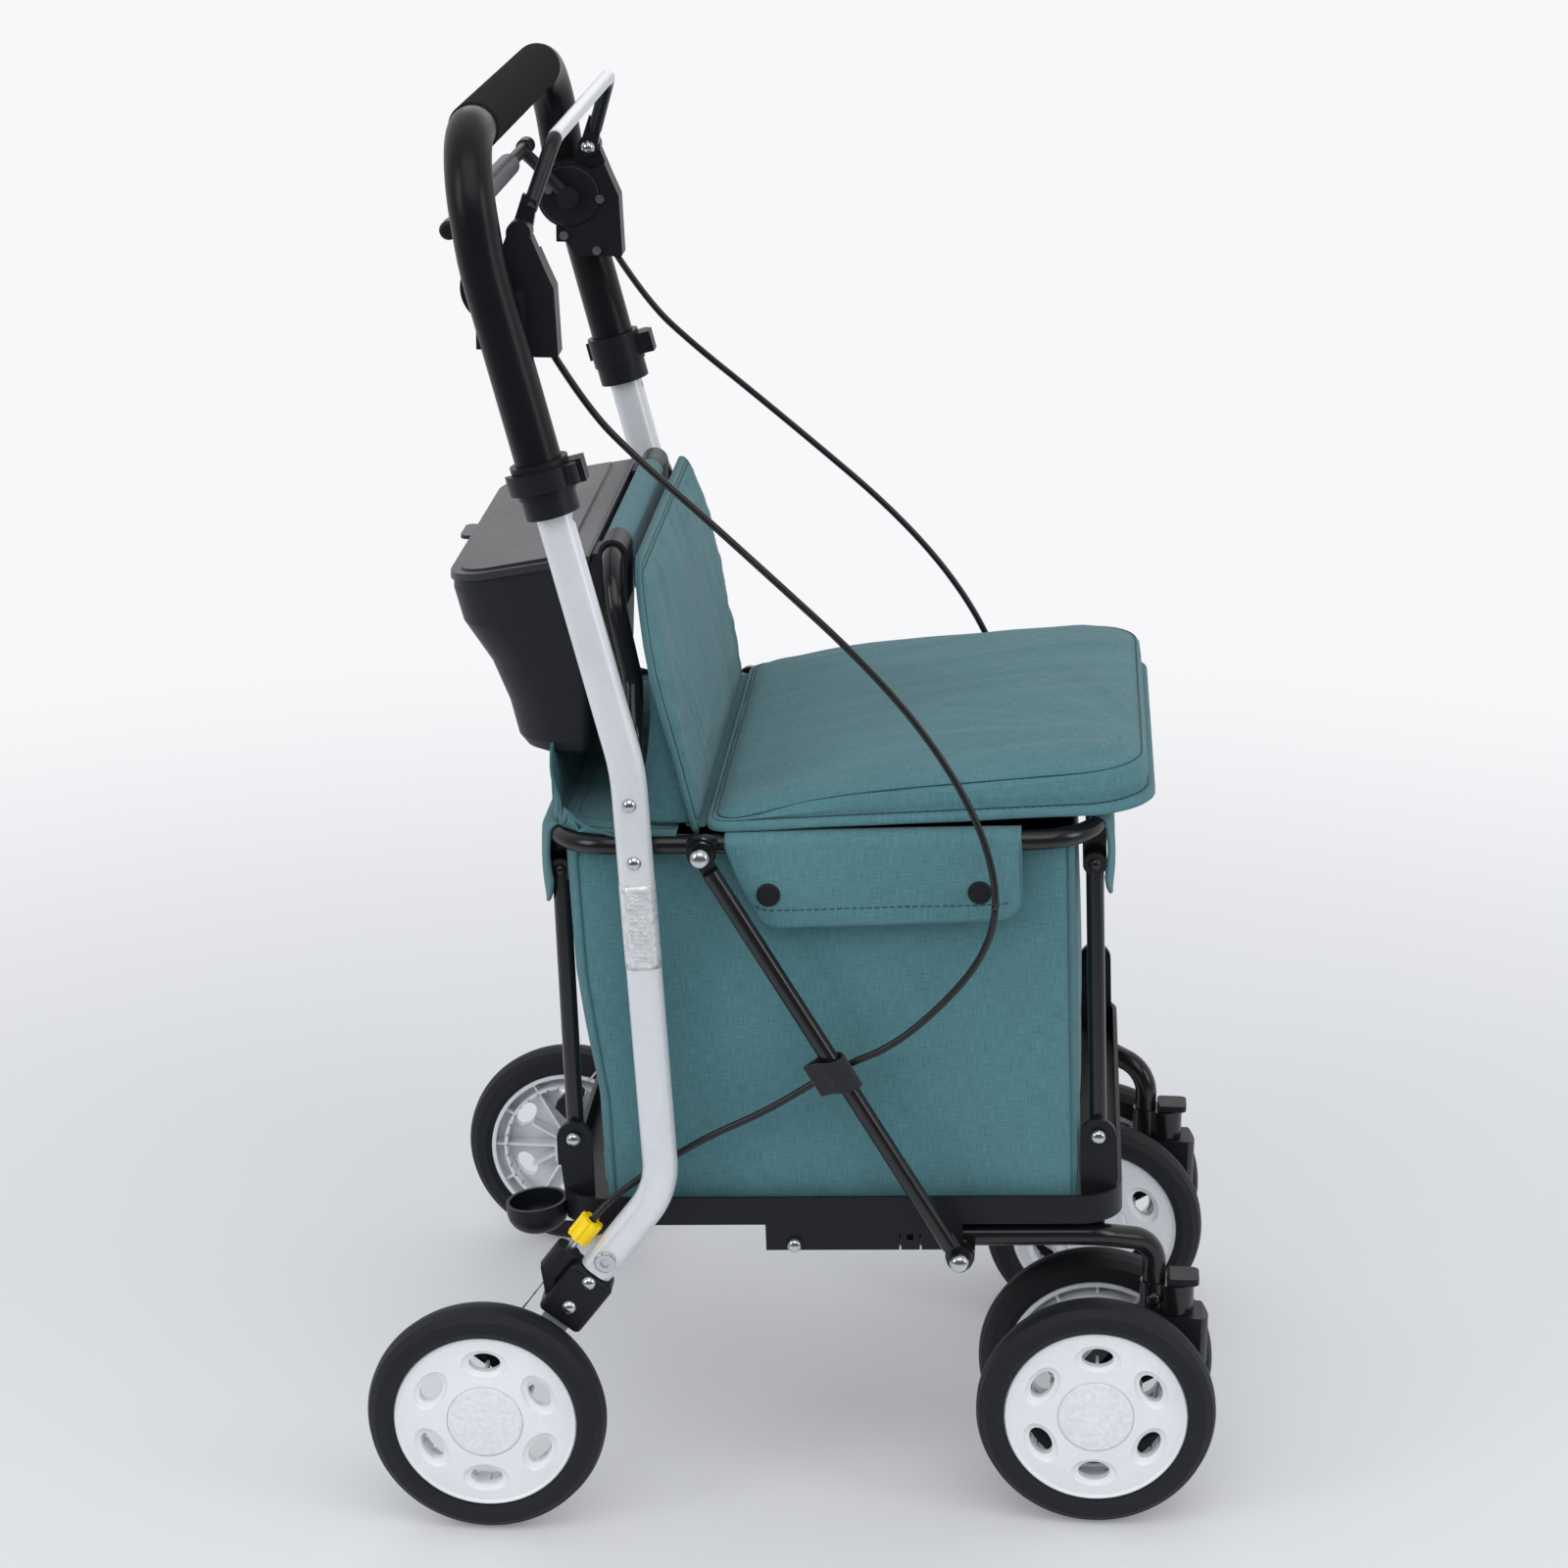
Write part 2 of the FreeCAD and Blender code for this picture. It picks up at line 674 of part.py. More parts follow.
def seat_ring():
    """Round steel tube bent into the seat ring, with lugs for posts and struts and spacers to the legs."""
    z = ring_height
    wire = rounded_rectangle(at(ring_rear_out), at(ring_front_out), -ring_half_width, ring_half_width, z,
                             ring_corner_radius)
    start = V(at(ring_rear_out) + ring_corner_radius, -ring_half_width, z)
    ring = swept(wire, circle_at(start, V(1, 0, 0), ring_tube_radius))
    parts = [ring]
    for out in (rear_post_out, front_post_out):
        for side in SIDES:
            inner = side * (post_side - post_diameter / 2 - running_gap)
            low, high = sorted((inner, inner - side * lug_plate))
            half = post_lug_wide / 2
            parts.append(block(at(out) - half, at(out) + half, low, high, post_top_height, z))
            parts.append(cylinder(V(at(out), low, post_top_height), Y_AXIS, half, high - low))
    bores = []
    for out in (rear_post_out, front_post_out):
        bores.append(cylinder(V(at(out), -ring_half_width, post_top_height), Y_AXIS, pivot_pin_radius + pin_gap,
                              2 * ring_half_width))
    body = lean(fuse(parts).cut(bores))
    more = []
    for side in SIDES:
        plate_face = strut_flat_face(side) - side * running_gap
        low, high = strut_plate(side)
        x = at(strut_top_out)
        half = strut_lug_wide / 2
        top = strut_top_height + ring_tube_radius
        more.append(block(x - half, x + half, low, high, strut_top_height, top))
        lug = cylinder(V(x, low, strut_top_height), Y_AXIS, strut_lug_radius, high - low)
        more.append(lug)
        web_low, web_high = sorted((side * ring_half_width, plate_face))
        more.append(block(x - half, x + half, web_low, web_high, top - lug_plate, top))
        leg_inner = side * (leg_y - leg_thick / 2)
        ends = sorted((side * ring_half_width, leg_inner))
        spacer_z = lower_rivet_height
        more.append(cylinder(V(mid_leg_x(spacer_z), ends[0], spacer_z), Y_AXIS, rivet_radius, ends[1] - ends[0]))
    strut_bore = cylinder(V(at(strut_top_out), -strut_side, strut_top_height), Y_AXIS, pivot_pin_radius + pin_gap,
                          2 * strut_side)
    keep = block(at(0), at(wheelbase), -ring_half_width - ring_tube_radius, ring_half_width + ring_tube_radius,
                 0, ring_height * 2)
    return fuse([body] + more).cut(strut_bore.cut(keep))


# Backrest frame and pad
back_top_out = 80.0
back_top_height = ring_height + 187.5
back_half_width = 172.0
back_tube_radius = 7.0
back_corner_radius = 40.0
back_foot_out = 97.0
back_knee_height = ring_height + 109.5
back_foot_flat = 4.0


def backrest_frame():
    """Bent tube behind the backrest pad, its flattened feet riveted to the legs."""
    foot_z = upper_rivet_height
    foot_x = mid_leg_x(foot_z)
    side_y = leg_y - leg_thick / 2 - back_tube_radius - seat_gap
    inward = back_half_width
    points = [
        V(foot_x, -side_y, foot_z),
        V(foot_x, -side_y, foot_z + back_corner_radius),
        V(at(back_foot_out), -inward, back_knee_height),
        V(at(back_top_out), -inward, back_top_height),
    ]
    points += [V(p.x, -p.y, p.z) for p in reversed(points)]
    radii = [back_corner_radius / 2, back_corner_radius / 2, back_corner_radius, back_corner_radius,
             back_corner_radius / 2, back_corner_radius / 2]
    frame = tube(points, radii, back_tube_radius)
    ears = []
    for side in SIDES:
        low, high = sorted((side * side_y, side * (leg_y - leg_thick / 2)))
        ears.append(cylinder(V(foot_x, low, foot_z), Y_AXIS, back_tube_radius, high - low))
    return fuse([frame] + ears)


pad_top_height = ring_height + 203.5
pad_bottom_height = ring_height + 19.5
pad_top_out = 94.8
pad_slope = 0.2284
pad_thick = 16.0
pad_top_half = 148.0
pad_wide_half = 205.0
pad_bottom_half = 176.0
pad_crown = 5.0
pad_corner = 46.0
pad_wide_height = ring_height + 134.5


def pad_outline(height_share, grow):
    """Half width of the pad at a share of its height."""
    z = pad_bottom_height + (pad_top_height - pad_bottom_height) * height_share
    if z < pad_wide_height:
        t = (z - pad_bottom_height) / (pad_wide_height - pad_bottom_height)
        half = pad_bottom_half + (pad_wide_half - pad_bottom_half) * math.sin(t * math.pi / 2)
    else:
        t = (z - pad_wide_height) / (pad_top_height - pad_wide_height)
        half = pad_top_half + (pad_wide_half - pad_top_half) * math.sqrt(max(0, 1 - t * t))
    return z, half - grow


pad_level_shares = (0, 0.2, 0.42, 0.62, 0.78, 0.9, 0.97, 1)


def pad_layer(depth, grow):
    """Outline wire of the pad at a depth in front of its back face."""
    points = []
    for share in pad_level_shares:
        z, half = pad_outline(share, grow)
        z = min(max(z, pad_bottom_height + grow), pad_top_height - grow)
        x = at(pad_top_out) + (pad_top_height - z) * pad_slope + depth
        points.append(V(x, -half, z))
    points += [V(p.x, -p.y, p.z) for p in reversed(points)]
    return Part.makePolygon(points + points[:1])


def backrest_pad():
    """Padded backrest: full in the middle and drawn in to a seam all round."""
    edge = pad_thick * 0.35
    layers = [pad_layer(-pad_thick / 2, edge), pad_layer(0, 0), pad_layer(pad_thick / 2, edge),
              pad_layer(pad_thick / 2 + pad_crown, edge * 6)]
    return Part.makeLoft(layers, True, True)


# Fabric round the ring
cover_thick = 1.5
cover_gap = 0.4
rear_cover_front_out = 128.0
rear_flap_drop = 52.0
front_flap_drop = 52.0
side_flap_rear_out = 160.0
side_flap_front_out = 356.0
side_flap_drop = 56.0
cover_top_lift = 0.4
cover_corner = 31.0
lid_hinge_out = 148.0


def cover_skirt(out0, out1, drop, corner_front):
    """Band of fabric outside the ring tube between two stations."""
    reach = ring_tube_radius + cover_gap
    top = ring_height + ring_tube_radius + cover_top_lift
    low = ring_height - drop
    outer = plate_block(at(ring_rear_out) - reach - cover_thick, at(ring_front_out) + reach + cover_thick,
                        -ring_half_width - reach - cover_thick, ring_half_width + reach + cover_thick,
                        low, top + cover_thick, cover_corner + reach)
    inner = plate_block(at(ring_rear_out) - reach, at(ring_front_out) + reach,
                        -ring_half_width - reach, ring_half_width + reach, low - cut_over, top,
                        cover_corner + reach - cover_thick)
    return outer.cut(inner)


def window_block(out0, out1, side_from, side_to, low, high):
    return block(at(out0), at(out1), side_from, side_to, low, high)


def seat_rear_cover():
    """Fabric apron stretched over the rear of the ring, with a flap down the back."""
    wide = ring_half_width * 2
    shell = cover_skirt(0, 0, rear_flap_drop, 0)
    limit = at(rear_cover_front_out)
    low = ring_height - rear_flap_drop - cut_over
    high = ring_height + wide
    keep = block(at(ring_rear_out) - wide, limit, -wide, wide, low, high)
    cover = shell.common(keep)
    sides = []
    for side in SIDES:
        a, b = sorted((side * (ring_half_width - ring_corner_radius), side * wide))
        sides.append(block(at(ring_rear_out) + ring_tube_radius * 2.5, limit + cut_over, a, b, low,
                           ring_height + ring_tube_radius + cover_top_lift))
    return lean(cover.cut(sides))


def bag_flaps():
    """Fabric flaps folded over the ring: one on each side with press studs, one at the front."""
    wide = ring_half_width * 2
    reach = ring_tube_radius + cover_gap
    shell = cover_skirt(0, 0, side_flap_drop, 0)
    pieces = []
    top_inner = ring_half_width - ring_tube_radius
    for side in SIDES:
        a, b = sorted((side * top_inner, side * wide))
        pieces.append(shell.common(block(at(side_flap_rear_out), at(side_flap_front_out), a, b,
                                         ring_height - wide, ring_height + wide)))
    front_half = ring_half_width - ring_corner_radius + ring_tube_radius
    pieces.append(shell.common(block(at(ring_front_out) - ring_tube_radius, at(ring_front_out) + wide,
                                     -front_half, front_half, ring_height - front_flap_drop, ring_height + wide)))
    return lean(group(pieces))


stud_radius_out = 8.0
stud_high = 3.0
stud_outs = (188.0, 328.0)
stud_drop = 33.0


def press_studs():
    """Black press studs on the side flaps."""
    y = ring_half_width + ring_tube_radius + cover_gap + cover_thick
    studs = []
    for side in SIDES:
        for out in stud_outs:
            start = V(at(out), side * y, ring_height - stud_drop)
            stud = cylinder(start, V(0, side, 0), stud_radius_out, stud_high)
            rim = max(stud.Edges, key=lambda e: abs(e.CenterOfMass.y))
            studs.append(stud.makeFillet(stud_high * 0.6, [rim]))
    return lean(group(studs))


bag_rear_out = 57.0
bag_front_out = 392.5
bag_half_width = 181.0
bag_wall = 3.0
bag_bottom_gap = 1.0
bag_corner = 26.0
bag_belly = 1.5


def bag():
    """Open-topped shopping bag that hangs from the ring and stands on the tray."""
    low = tray_bottom_height + tray_wall + bag_bottom_gap
    high = ring_height - ring_tube_radius - cover_gap
    inset = ring_tube_radius + cover_gap

    def level(z, grow):
        return rounded_rectangle(at(bag_rear_out) - grow, at(bag_front_out) + grow, -bag_half_width - grow,
                                 bag_half_width + grow, z, bag_corner + grow)

    heights = (low, low + (high - low) * 0.3, low + (high - low) * 0.7, high)
    grows = (-bag_belly, bag_belly * 0.6, bag_belly * 0.4, -bag_belly * 0.5)
    outer = Part.makeLoft([level(z, g) for z, g in zip(heights, grows)], True, False)
    inner_heights = (low + bag_wall,) + heights[1:3] + (high + cut_over,)
    inner = Part.makeLoft([level(z, g - bag_wall) for z, g in zip(inner_heights, grows)], True, False)
    return lean(outer.cut(inner))


# Seat lid
lid_front_out = 443.0
lid_rear_half = 192.0
lid_front_half = 184.0
lid_board = 6.0
lid_lift_deg = 1.5
lid_corner_rear = 14.0
lid_corner_front = 42.0
cushion_inset = 5.0
cushion_rise = 33.0
cushion_crown = 8.0
cushion_hem = 4.0
cushion_flat_out = 16.0
cushion_row_shares = ((0, 0.10, 0.05), (0.08, 0.13, 0.12), (0.2, 0.42, 0.5), (0.38, 0.78, 0.95), (0.62, 0.94, 1.0),
                      (0.86, 1.0, 0.7), (0.96, 0.99, 0.3), (1.0, 0.86, 0.05))


def loop(points, radii):
    """Closed wire of straight sides and rounded corners."""
    edges = []
    count = len(points)
    ends = []
    for i in range(count):
        before = (points[i] - points[i - 1]).normalize()
        after = (points[(i + 1) % count] - points[i]).normalize()
        turn = before.getAngle(after)
        setback = radii[i] * math.tan(turn / 2)
        inward = (after - before).normalize()
        mid = points[i] + inward * (radii[i] * (1 / math.cos(turn / 2) - 1))
        ends.append((points[i] - before * setback, mid, points[i] + after * setback))
    for i in range(count):
        edges.append(Part.makeLine(ends[i - 1][2], ends[i][0]))
        edges.append(Part.Arc(*ends[i]).toShape())
    return Part.Wire(edges)


def lid_outline(z, inset):
    """Plan of the seat lid, a little narrower and rounder at the front."""
    x0 = at(lid_hinge_out) + inset
    x1 = at(lid_front_out) - inset
    rear = lid_rear_half - inset
    front = lid_front_half - inset
    points = [V(x0, -rear, z), V(x1, -front, z), V(x1, front, z), V(x0, rear, z)]
    return loop(points, [lid_corner_rear, lid_corner_front, lid_corner_front, lid_corner_rear])


def seat_cushion():
    """Seat lid: fabric-covered board with a wedge cushion, thin at the hinge and full at the front."""
    base = lid_base()
    board = Part.Face(lid_outline(base, 0)).extrude(V(0, 0, lid_board))
    round_half = lid_rear_half - lid_corner_rear
    hinge_radius = lid_board / 2
    hinge = V(at(lid_hinge_out) + hinge_radius, -round_half, base + hinge_radius)
    board = board.cut(block(hinge.x - hinge_radius * 2, hinge.x, -round_half, round_half, base - cut_over,
                            base + lid_board + cut_over))
    board = board.fuse(cylinder(hinge, Y_AXIS, hinge_radius, 2 * round_half))
    x0 = at(lid_hinge_out) + cushion_flat_out
    x1 = at(lid_front_out) - cushion_inset
    bottom = base + lid_board / 2

    def row(depth_share, rise_share, crown_share):
        """Cross section of the cushion: upright side, drawn-in shoulder at the seam, crowned top."""
        x = x0 + (x1 - x0) * depth_share
        seam = base + lid_board + cushion_rise * rise_share
        half = lid_rear_half + (lid_front_half - lid_rear_half) * depth_share - cushion_inset
        front_round = lid_corner_front * (1 - math.sqrt(max(0, 1 - ((x - x1) / lid_corner_front + 1) ** 2)))
        if x > x1 - lid_corner_front:
            half -= front_round
        hem = min(cushion_hem, cushion_rise * rise_share * 0.5)
        bulge = half + hem * 0.6
        crown = seam + cushion_crown * crown_share
        middle = (bottom + seam) / 2
        edges = [
            Part.makeLine(V(x, -half, bottom), V(x, half, bottom)),
            Part.Arc(V(x, half, bottom), V(x, bulge, middle), V(x, half - hem, seam)).toShape(),
            Part.Arc(V(x, half - hem, seam), V(x, 0, crown), V(x, -half + hem, seam)).toShape(),
            Part.Arc(V(x, -half + hem, seam), V(x, -bulge, middle), V(x, -half, bottom)).toShape(),
        ]
        return Part.Wire(edges)

    cushion = Part.makeLoft([row(*shares) for shares in cushion_row_shares], True, False)
    lid = fuse([board, cushion])
    lid.rotate(hinge, Y_AXIS, -lid_lift_deg)
    return lean(lid)


def lid_base():
    """Level height of the lid's underside, on the covered ring."""
    return ring_height + ring_tube_radius + cover_top_lift + cover_thick + seat_gap


# Storage box and lid
box_front_out = 66.0
box_top_rear_out = -30.0
box_bottom_rear_out = 14.0
box_top_height = ring_height + 173.5
box_rim_step = 16.0
box_bottom_height = ring_height + 46.5
box_half_width = 141.0
box_wall = 2.5
box_rear_round = 28.0
box_front_round = 9.0
box_lid_thick = 5.0
box_slope_share = 0.19
box_slope_out = 20.0
hook_side = 120.0
hook_wide = 34.0
hook_thick = 2.4
hook_drop = 34.0
tab_wide = 34.0
tab_reach = 9.0


def box_section(z, rear_out, inset, front_out):
    """Level outline of the storage box with rounded corners."""
    half = box_half_width - inset
    x0 = at(rear_out) + inset
    x1 = at(front_out) - inset
    points = [V(x0, -half, z), V(x1, -half, z), V(x1, half, z), V(x0, half, z)]
    return loop(points, [box_rear_round - inset, box_front_round - min(inset, box_front_round / 2),
                         box_front_round - min(inset, box_front_round / 2), box_rear_round - inset])


def box_stations(inset):
    """Outlines from the floor to the rim: narrow foot, swelling rear wall, upright collar."""
    z0 = box_bottom_height + inset
    z1 = box_top_height - box_rim_step
    span = z1 - z0
    depth = box_bottom_rear_out - box_top_rear_out
    rows = []
    for share, rear_share, foot in box_rows_shares:
        rows.append(box_section(z0 + span * share, box_bottom_rear_out - depth * rear_share,
                                inset + foot * box_rim_step, box_front_out))
    return rows


box_rows_shares = ((0, -0.12, 0.5), (0.03, 0.0, 0.26), (0.09, 0.08, 0.14), (0.3, 0.2, 0.1), (0.55, 0.45, 0.06),
                   (0.8, 0.86, 0), (1, 1, 0))


def lid_under(out):
    """Height of the rim plane, which slopes up to the front."""
    return box_top_height + (out - box_slope_out) * box_slope_share


def storage_box():
    """Moulded storage box with hooks over the backrest frame."""
    outer = Part.makeLoft(box_stations(0), True, True)
    inner = Part.makeLoft(box_stations(box_wall), True, True)
    z1 = box_top_height - box_rim_step
    rim_out = Part.Face(box_section(z1, box_top_rear_out, 0, box_front_out)).extrude(V(0, 0, 2 * box_rim_step))
    rim_in = Part.Face(box_section(z1 - cut_over, box_top_rear_out, box_wall, box_front_out)).extrude(
        V(0, 0, 2 * box_rim_step + 2 * cut_over))
    rear = box_top_rear_out - cut_over
    front = box_front_out + cut_over
    slope_cut = slab([(at(rear), lid_under(rear)), (at(front), lid_under(front)),
                      (at(front), lid_under(front) + box_rim_step * 4),
                      (at(rear), lid_under(front) + box_rim_step * 4)],
                     -box_half_width * 2, box_half_width * 2)
    shell = outer.fuse(rim_out).cut(inner).cut(rim_in).cut(slope_cut).removeSplitter()
    centre = V(at(back_top_out), 0, back_top_height)
    outer_r = back_tube_radius + seat_gap + hook_thick
    inner_r = back_tube_radius + seat_gap
    hooks = []
    for side in SIDES:
        y0, y1 = sorted((side * (hook_side - hook_wide / 2), side * (hook_side + hook_wide / 2)))
        centre_low = V(centre.x, y0, centre.z)
        arch = cylinder(centre_low, Y_AXIS, outer_r, hook_wide)
        arch = arch.common(block(centre.x - outer_r, centre.x + outer_r, y0, y1, centre.z, centre.z + outer_r))
        front_leg = block(centre.x + inner_r, centre.x + outer_r, y0, y1, centre.z - hook_drop, centre.z)
        rear_leg = block(at(box_front_out) + running_gap, centre.x - inner_r, y0, y1,
                         centre.z - hook_drop, centre.z)
        root = block(at(box_front_out) - box_wall, centre.x - inner_r, y0, y1,
                     centre.z - hook_drop, lid_under(box_front_out) - running_gap)
        hook = fuse([arch, front_leg, rear_leg, root])
        hooks.append(hook.cut(cylinder(centre_low - V(0, cut_over, 0), Y_AXIS, inner_r, hook_wide + 2 * cut_over)))
    return fuse([shell] + hooks)


lid_overhang = 2.0
lid_step_in = 7.0
lid_step_front = 16.0
lid_step_high = 1.6


def box_lid():
    """Hinged lid that slopes up to the front, with a finger tab at the rear."""
    rear = box_top_rear_out - lid_overhang
    front = box_front_out - seat_gap
    half = box_half_width + lid_overhang
    z_rear = lid_under(rear) + cover_gap
    z_front = lid_under(front) + cover_gap
    slope = math.atan(box_slope_share)
    hinge_radius = box_lid_thick / 2 * math.cos(slope)
    hinge_x = at(front) - hinge_radius
    hinge_z = z_front + box_lid_thick / 2 - hinge_radius * box_slope_share
    lid = slab([(at(rear), z_rear), (hinge_x + hinge_radius * math.sin(slope), hinge_z - hinge_radius * math.cos(slope)),
                (hinge_x - hinge_radius * math.sin(slope), hinge_z + hinge_radius * math.cos(slope)),
                (at(rear), z_rear + box_lid_thick)], -half, half)
    round_edge = cylinder(V(hinge_x, -half, hinge_z), Y_AXIS, hinge_radius, 2 * half)
    low = z_rear - cut_over
    outline = loop([V(at(rear), -half, low), V(at(front) + cut_over, -half, low), V(at(front) + cut_over, half, low),
                    V(at(rear), half, low)],
                   [box_rear_round + lid_overhang, box_front_round, box_front_round, box_rear_round + lid_overhang])
    keep = Part.Face(outline).extrude(V(0, 0, box_rim_step * 5))
    lid = fuse([lid, round_edge]).common(keep)
    rise = lid_step_high
    raised_rear = at(rear) + lid_step_in
    raised_front = at(front) - lid_step_front
    raised = slab([(raised_rear, lid_face(raised_rear) - seat_gap), (raised_front, lid_face(raised_front) - seat_gap),
                   (raised_front - rise, lid_face(raised_front) + rise),
                   (raised_rear + rise, lid_face(raised_rear) + rise)], -half + lid_step_in, half - lid_step_in)
    inner = loop([V(raised_rear, -half + lid_step_in, low), V(raised_front, -half + lid_step_in, low),
                  V(raised_front, half - lid_step_in, low), V(raised_rear, half - lid_step_in, low)],
                 [box_rear_round - lid_step_in + lid_overhang, box_front_round / 2, box_front_round / 2,
                  box_rear_round - lid_step_in + lid_overhang])
    raised = raised.common(Part.Face(inner).extrude(V(0, 0, box_rim_step * 5)))
    tab = block(at(rear) - tab_reach, at(rear) + lid_overhang, -tab_wide / 2, tab_wide / 2,
                z_rear + seat_gap, z_rear + box_lid_thick * 0.6)
    upright = [e for e in tab.Edges if e.BoundBox.ZLength > box_lid_thick * 0.3 and e.CenterOfMass.x < at(rear) - seat_gap]
    tab = tab.makeFillet(tab_reach * 0.6, upright)
    return fuse([lid, raised, tab])


def lid_face(x):
    """Height of the lid's upper face at an X."""
    return lid_under(x - rear_axle_x) + cover_gap + box_lid_thick


# Handle
collar_radius = 18.0
collar_length = 13.0
band_length = 22.0
band_radius = 19.2
ear_reach = 9.0
ear_wide = 7.0
clamp_lever_length = 34.0
clamp_lever_thick = 4.0


def handle_points(side):
    y = side * leg_y
    return [
        V(leg_x(handle_bottom_height), y, handle_bottom_height),
        V(leg_x(handle_bend_height), y, handle_bend_height),
        V(at(grip_out), y, grip_height),
    ]


def handle_outer(wall=0, grow=0):
    """The handle tube, solid or with a wall, or grown for a hole that it passes."""
    points = handle_points(RIGHT) + handle_points(LEFT)[::-1]
    radii = [handle_bend_radius, handle_corner_radius, handle_corner_radius, handle_bend_radius]
    return tube(points, radii, handle_radius + grow, wall)


def handle_tube():
    """Black U-shaped push handle that slides over both legs."""
    return handle_outer(handle_wall)


def foam_grip():
    """Foam sleeve round the cross tube."""
    start = V(at(grip_out), -foam_length / 2, grip_height)
    sleeve = cylinder(start, Y_AXIS, foam_diameter / 2, foam_length)
    sleeve = sleeve.makeFillet(handle_wall * 0.4, [e for e in sleeve.Edges if e.Curve.TypeId == "Part::GeomCircle"])
    return sleeve.cut(cylinder(start - V(0, cut_over, 0), Y_AXIS, handle_radius, foam_length + 2 * cut_over))


def along_handle(side, height, forward=0, sideways=0):
    """Point beside the straight handle leg: forward square to it, sideways away from the middle."""
    ahead = Y_AXIS.cross(slide_axis)
    base = V(leg_x(height), side * (leg_y + sideways), height)
    return base + ahead * forward


def height_collar(side):
    """Plastic bush and split clamp band at the foot of the handle tube."""
    low = along_handle(side, handle_bottom_height) - slide_axis * seat_gap
    ring = cylinder(low, slide_axis, collar_radius, collar_length)
    band_start = low + slide_axis * (collar_length + running_gap)
    band = cylinder(band_start, slide_axis, band_radius, band_length)
    ahead = Y_AXIS.cross(slide_axis)
    neck = cylinder(band_start - slide_axis * running_gap, slide_axis, collar_radius, running_gap)
    ears = []
    for step in (-1, 1):
        centre = along_handle(side, handle_bottom_height, collar_radius + ear_reach / 2)
        ear = Part.makeBox(ear_reach + band_radius / 2, ear_wide, band_length * 0.7)
        place = FreeCAD.Placement(band_start + slide_axis * (band_length * 0.15) + ahead * (band_radius / 2)
                                  + V(0, step * ear_wide * 0.62 - ear_wide / 2, 0),
                                  FreeCAD.Rotation(V(1, 0, 0), ahead).multiply(FreeCAD.Rotation()))
        ear.Placement = place
        ears.append(ear)
    whole = fuse([ring, neck, band] + ears)
    bore = cylinder(low - slide_axis * cut_over, slide_axis, handle_radius + pin_gap,
                    collar_length + band_length + 4 * cut_over)
    guide_wire = Part.Wire(Part.makeLine(low - slide_axis * cut_over,
                                         low + slide_axis * (collar_length + band_length + cut_over)))
    guide = swept(guide_wire, oval_at(low - slide_axis * cut_over, slide_axis, leg_wide + 2 * seat_gap,
                                      leg_thick + 2 * seat_gap))
    bush = cylinder(low, slide_axis, handle_radius - handle_wall - pin_gap, collar_length + band_length).cut(guide)
    return group([whole.cut(bore), bush])


def clamp_place(side, forward, sideways, up):
    """Point beside the clamp band: forward, away from the middle, and up along the tube."""
    low = along_handle(side, handle_bottom_height, forward, sideways)
    return low + slide_axis * (collar_length + running_gap + up)


def clamp_lever(side):
    """Quick-release cam lever: boss beside the ears, curved arm round the outer side of the band."""
    up = band_length * 0.2
    height = band_length * 0.6
    inner_r = band_radius + running_gap
    outer_r = inner_r + clamp_lever_thick
    centre = clamp_place(side, 0, 0, up)
    arm = cylinder(centre, slide_axis, outer_r, height).cut(
        cylinder(centre - slide_axis * cut_over, slide_axis, inner_r, height + 2 * cut_over))
    corners = [clamp_place(side, f * outer_r, w * outer_r, up - cut_over) for f, w in clamp_sector_shares]
    sector = Part.Face(Part.makePolygon(corners + corners[:1])).extrude(slide_axis * (height + 2 * cut_over))
    boss = cylinder(clamp_place(side, clamp_pin_forward, clamp_pin_side, up), slide_axis, clamp_boss_radius, height)
    keep_out = cylinder(centre - slide_axis * cut_over, slide_axis, inner_r, height + 2 * cut_over)
    return fuse([arm.common(sector), boss.cut(keep_out)])


clamp_pin_forward = 20.5
clamp_pin_side = 13.2
clamp_boss_radius = 4.8
clamp_sector_shares = ((0, 0), (1.0, 0.62), (1.5, 1.5), (-1.5, 1.5), (-1.2, 0.35))


# Brake housings on the inner side of the handle legs
housing_disc_out = 14.5
housing_disc_height = 855.0
housing_disc_radius = 24.0
housing_inner = 173.0
housing_outer = 194.0
housing_low = 811.0
housing_front_out = 53.0
housing_rear_low_out = 19.0
bail_pivot_out = 28.4
bail_pivot_height = 890.0
pivot_ear_radius = 8.0
cover_dome = 3.0
housing_low_round = 9.0
housing_screw_radius = 3.2
housing_screw_places = ((-0.5, 859.4), (37.1, 853.2), (10.5, 826.0), (34.5, 815.5))
cable_exit_out = 47.7
cable_exit_height = 810.8
cable_side = 181.0


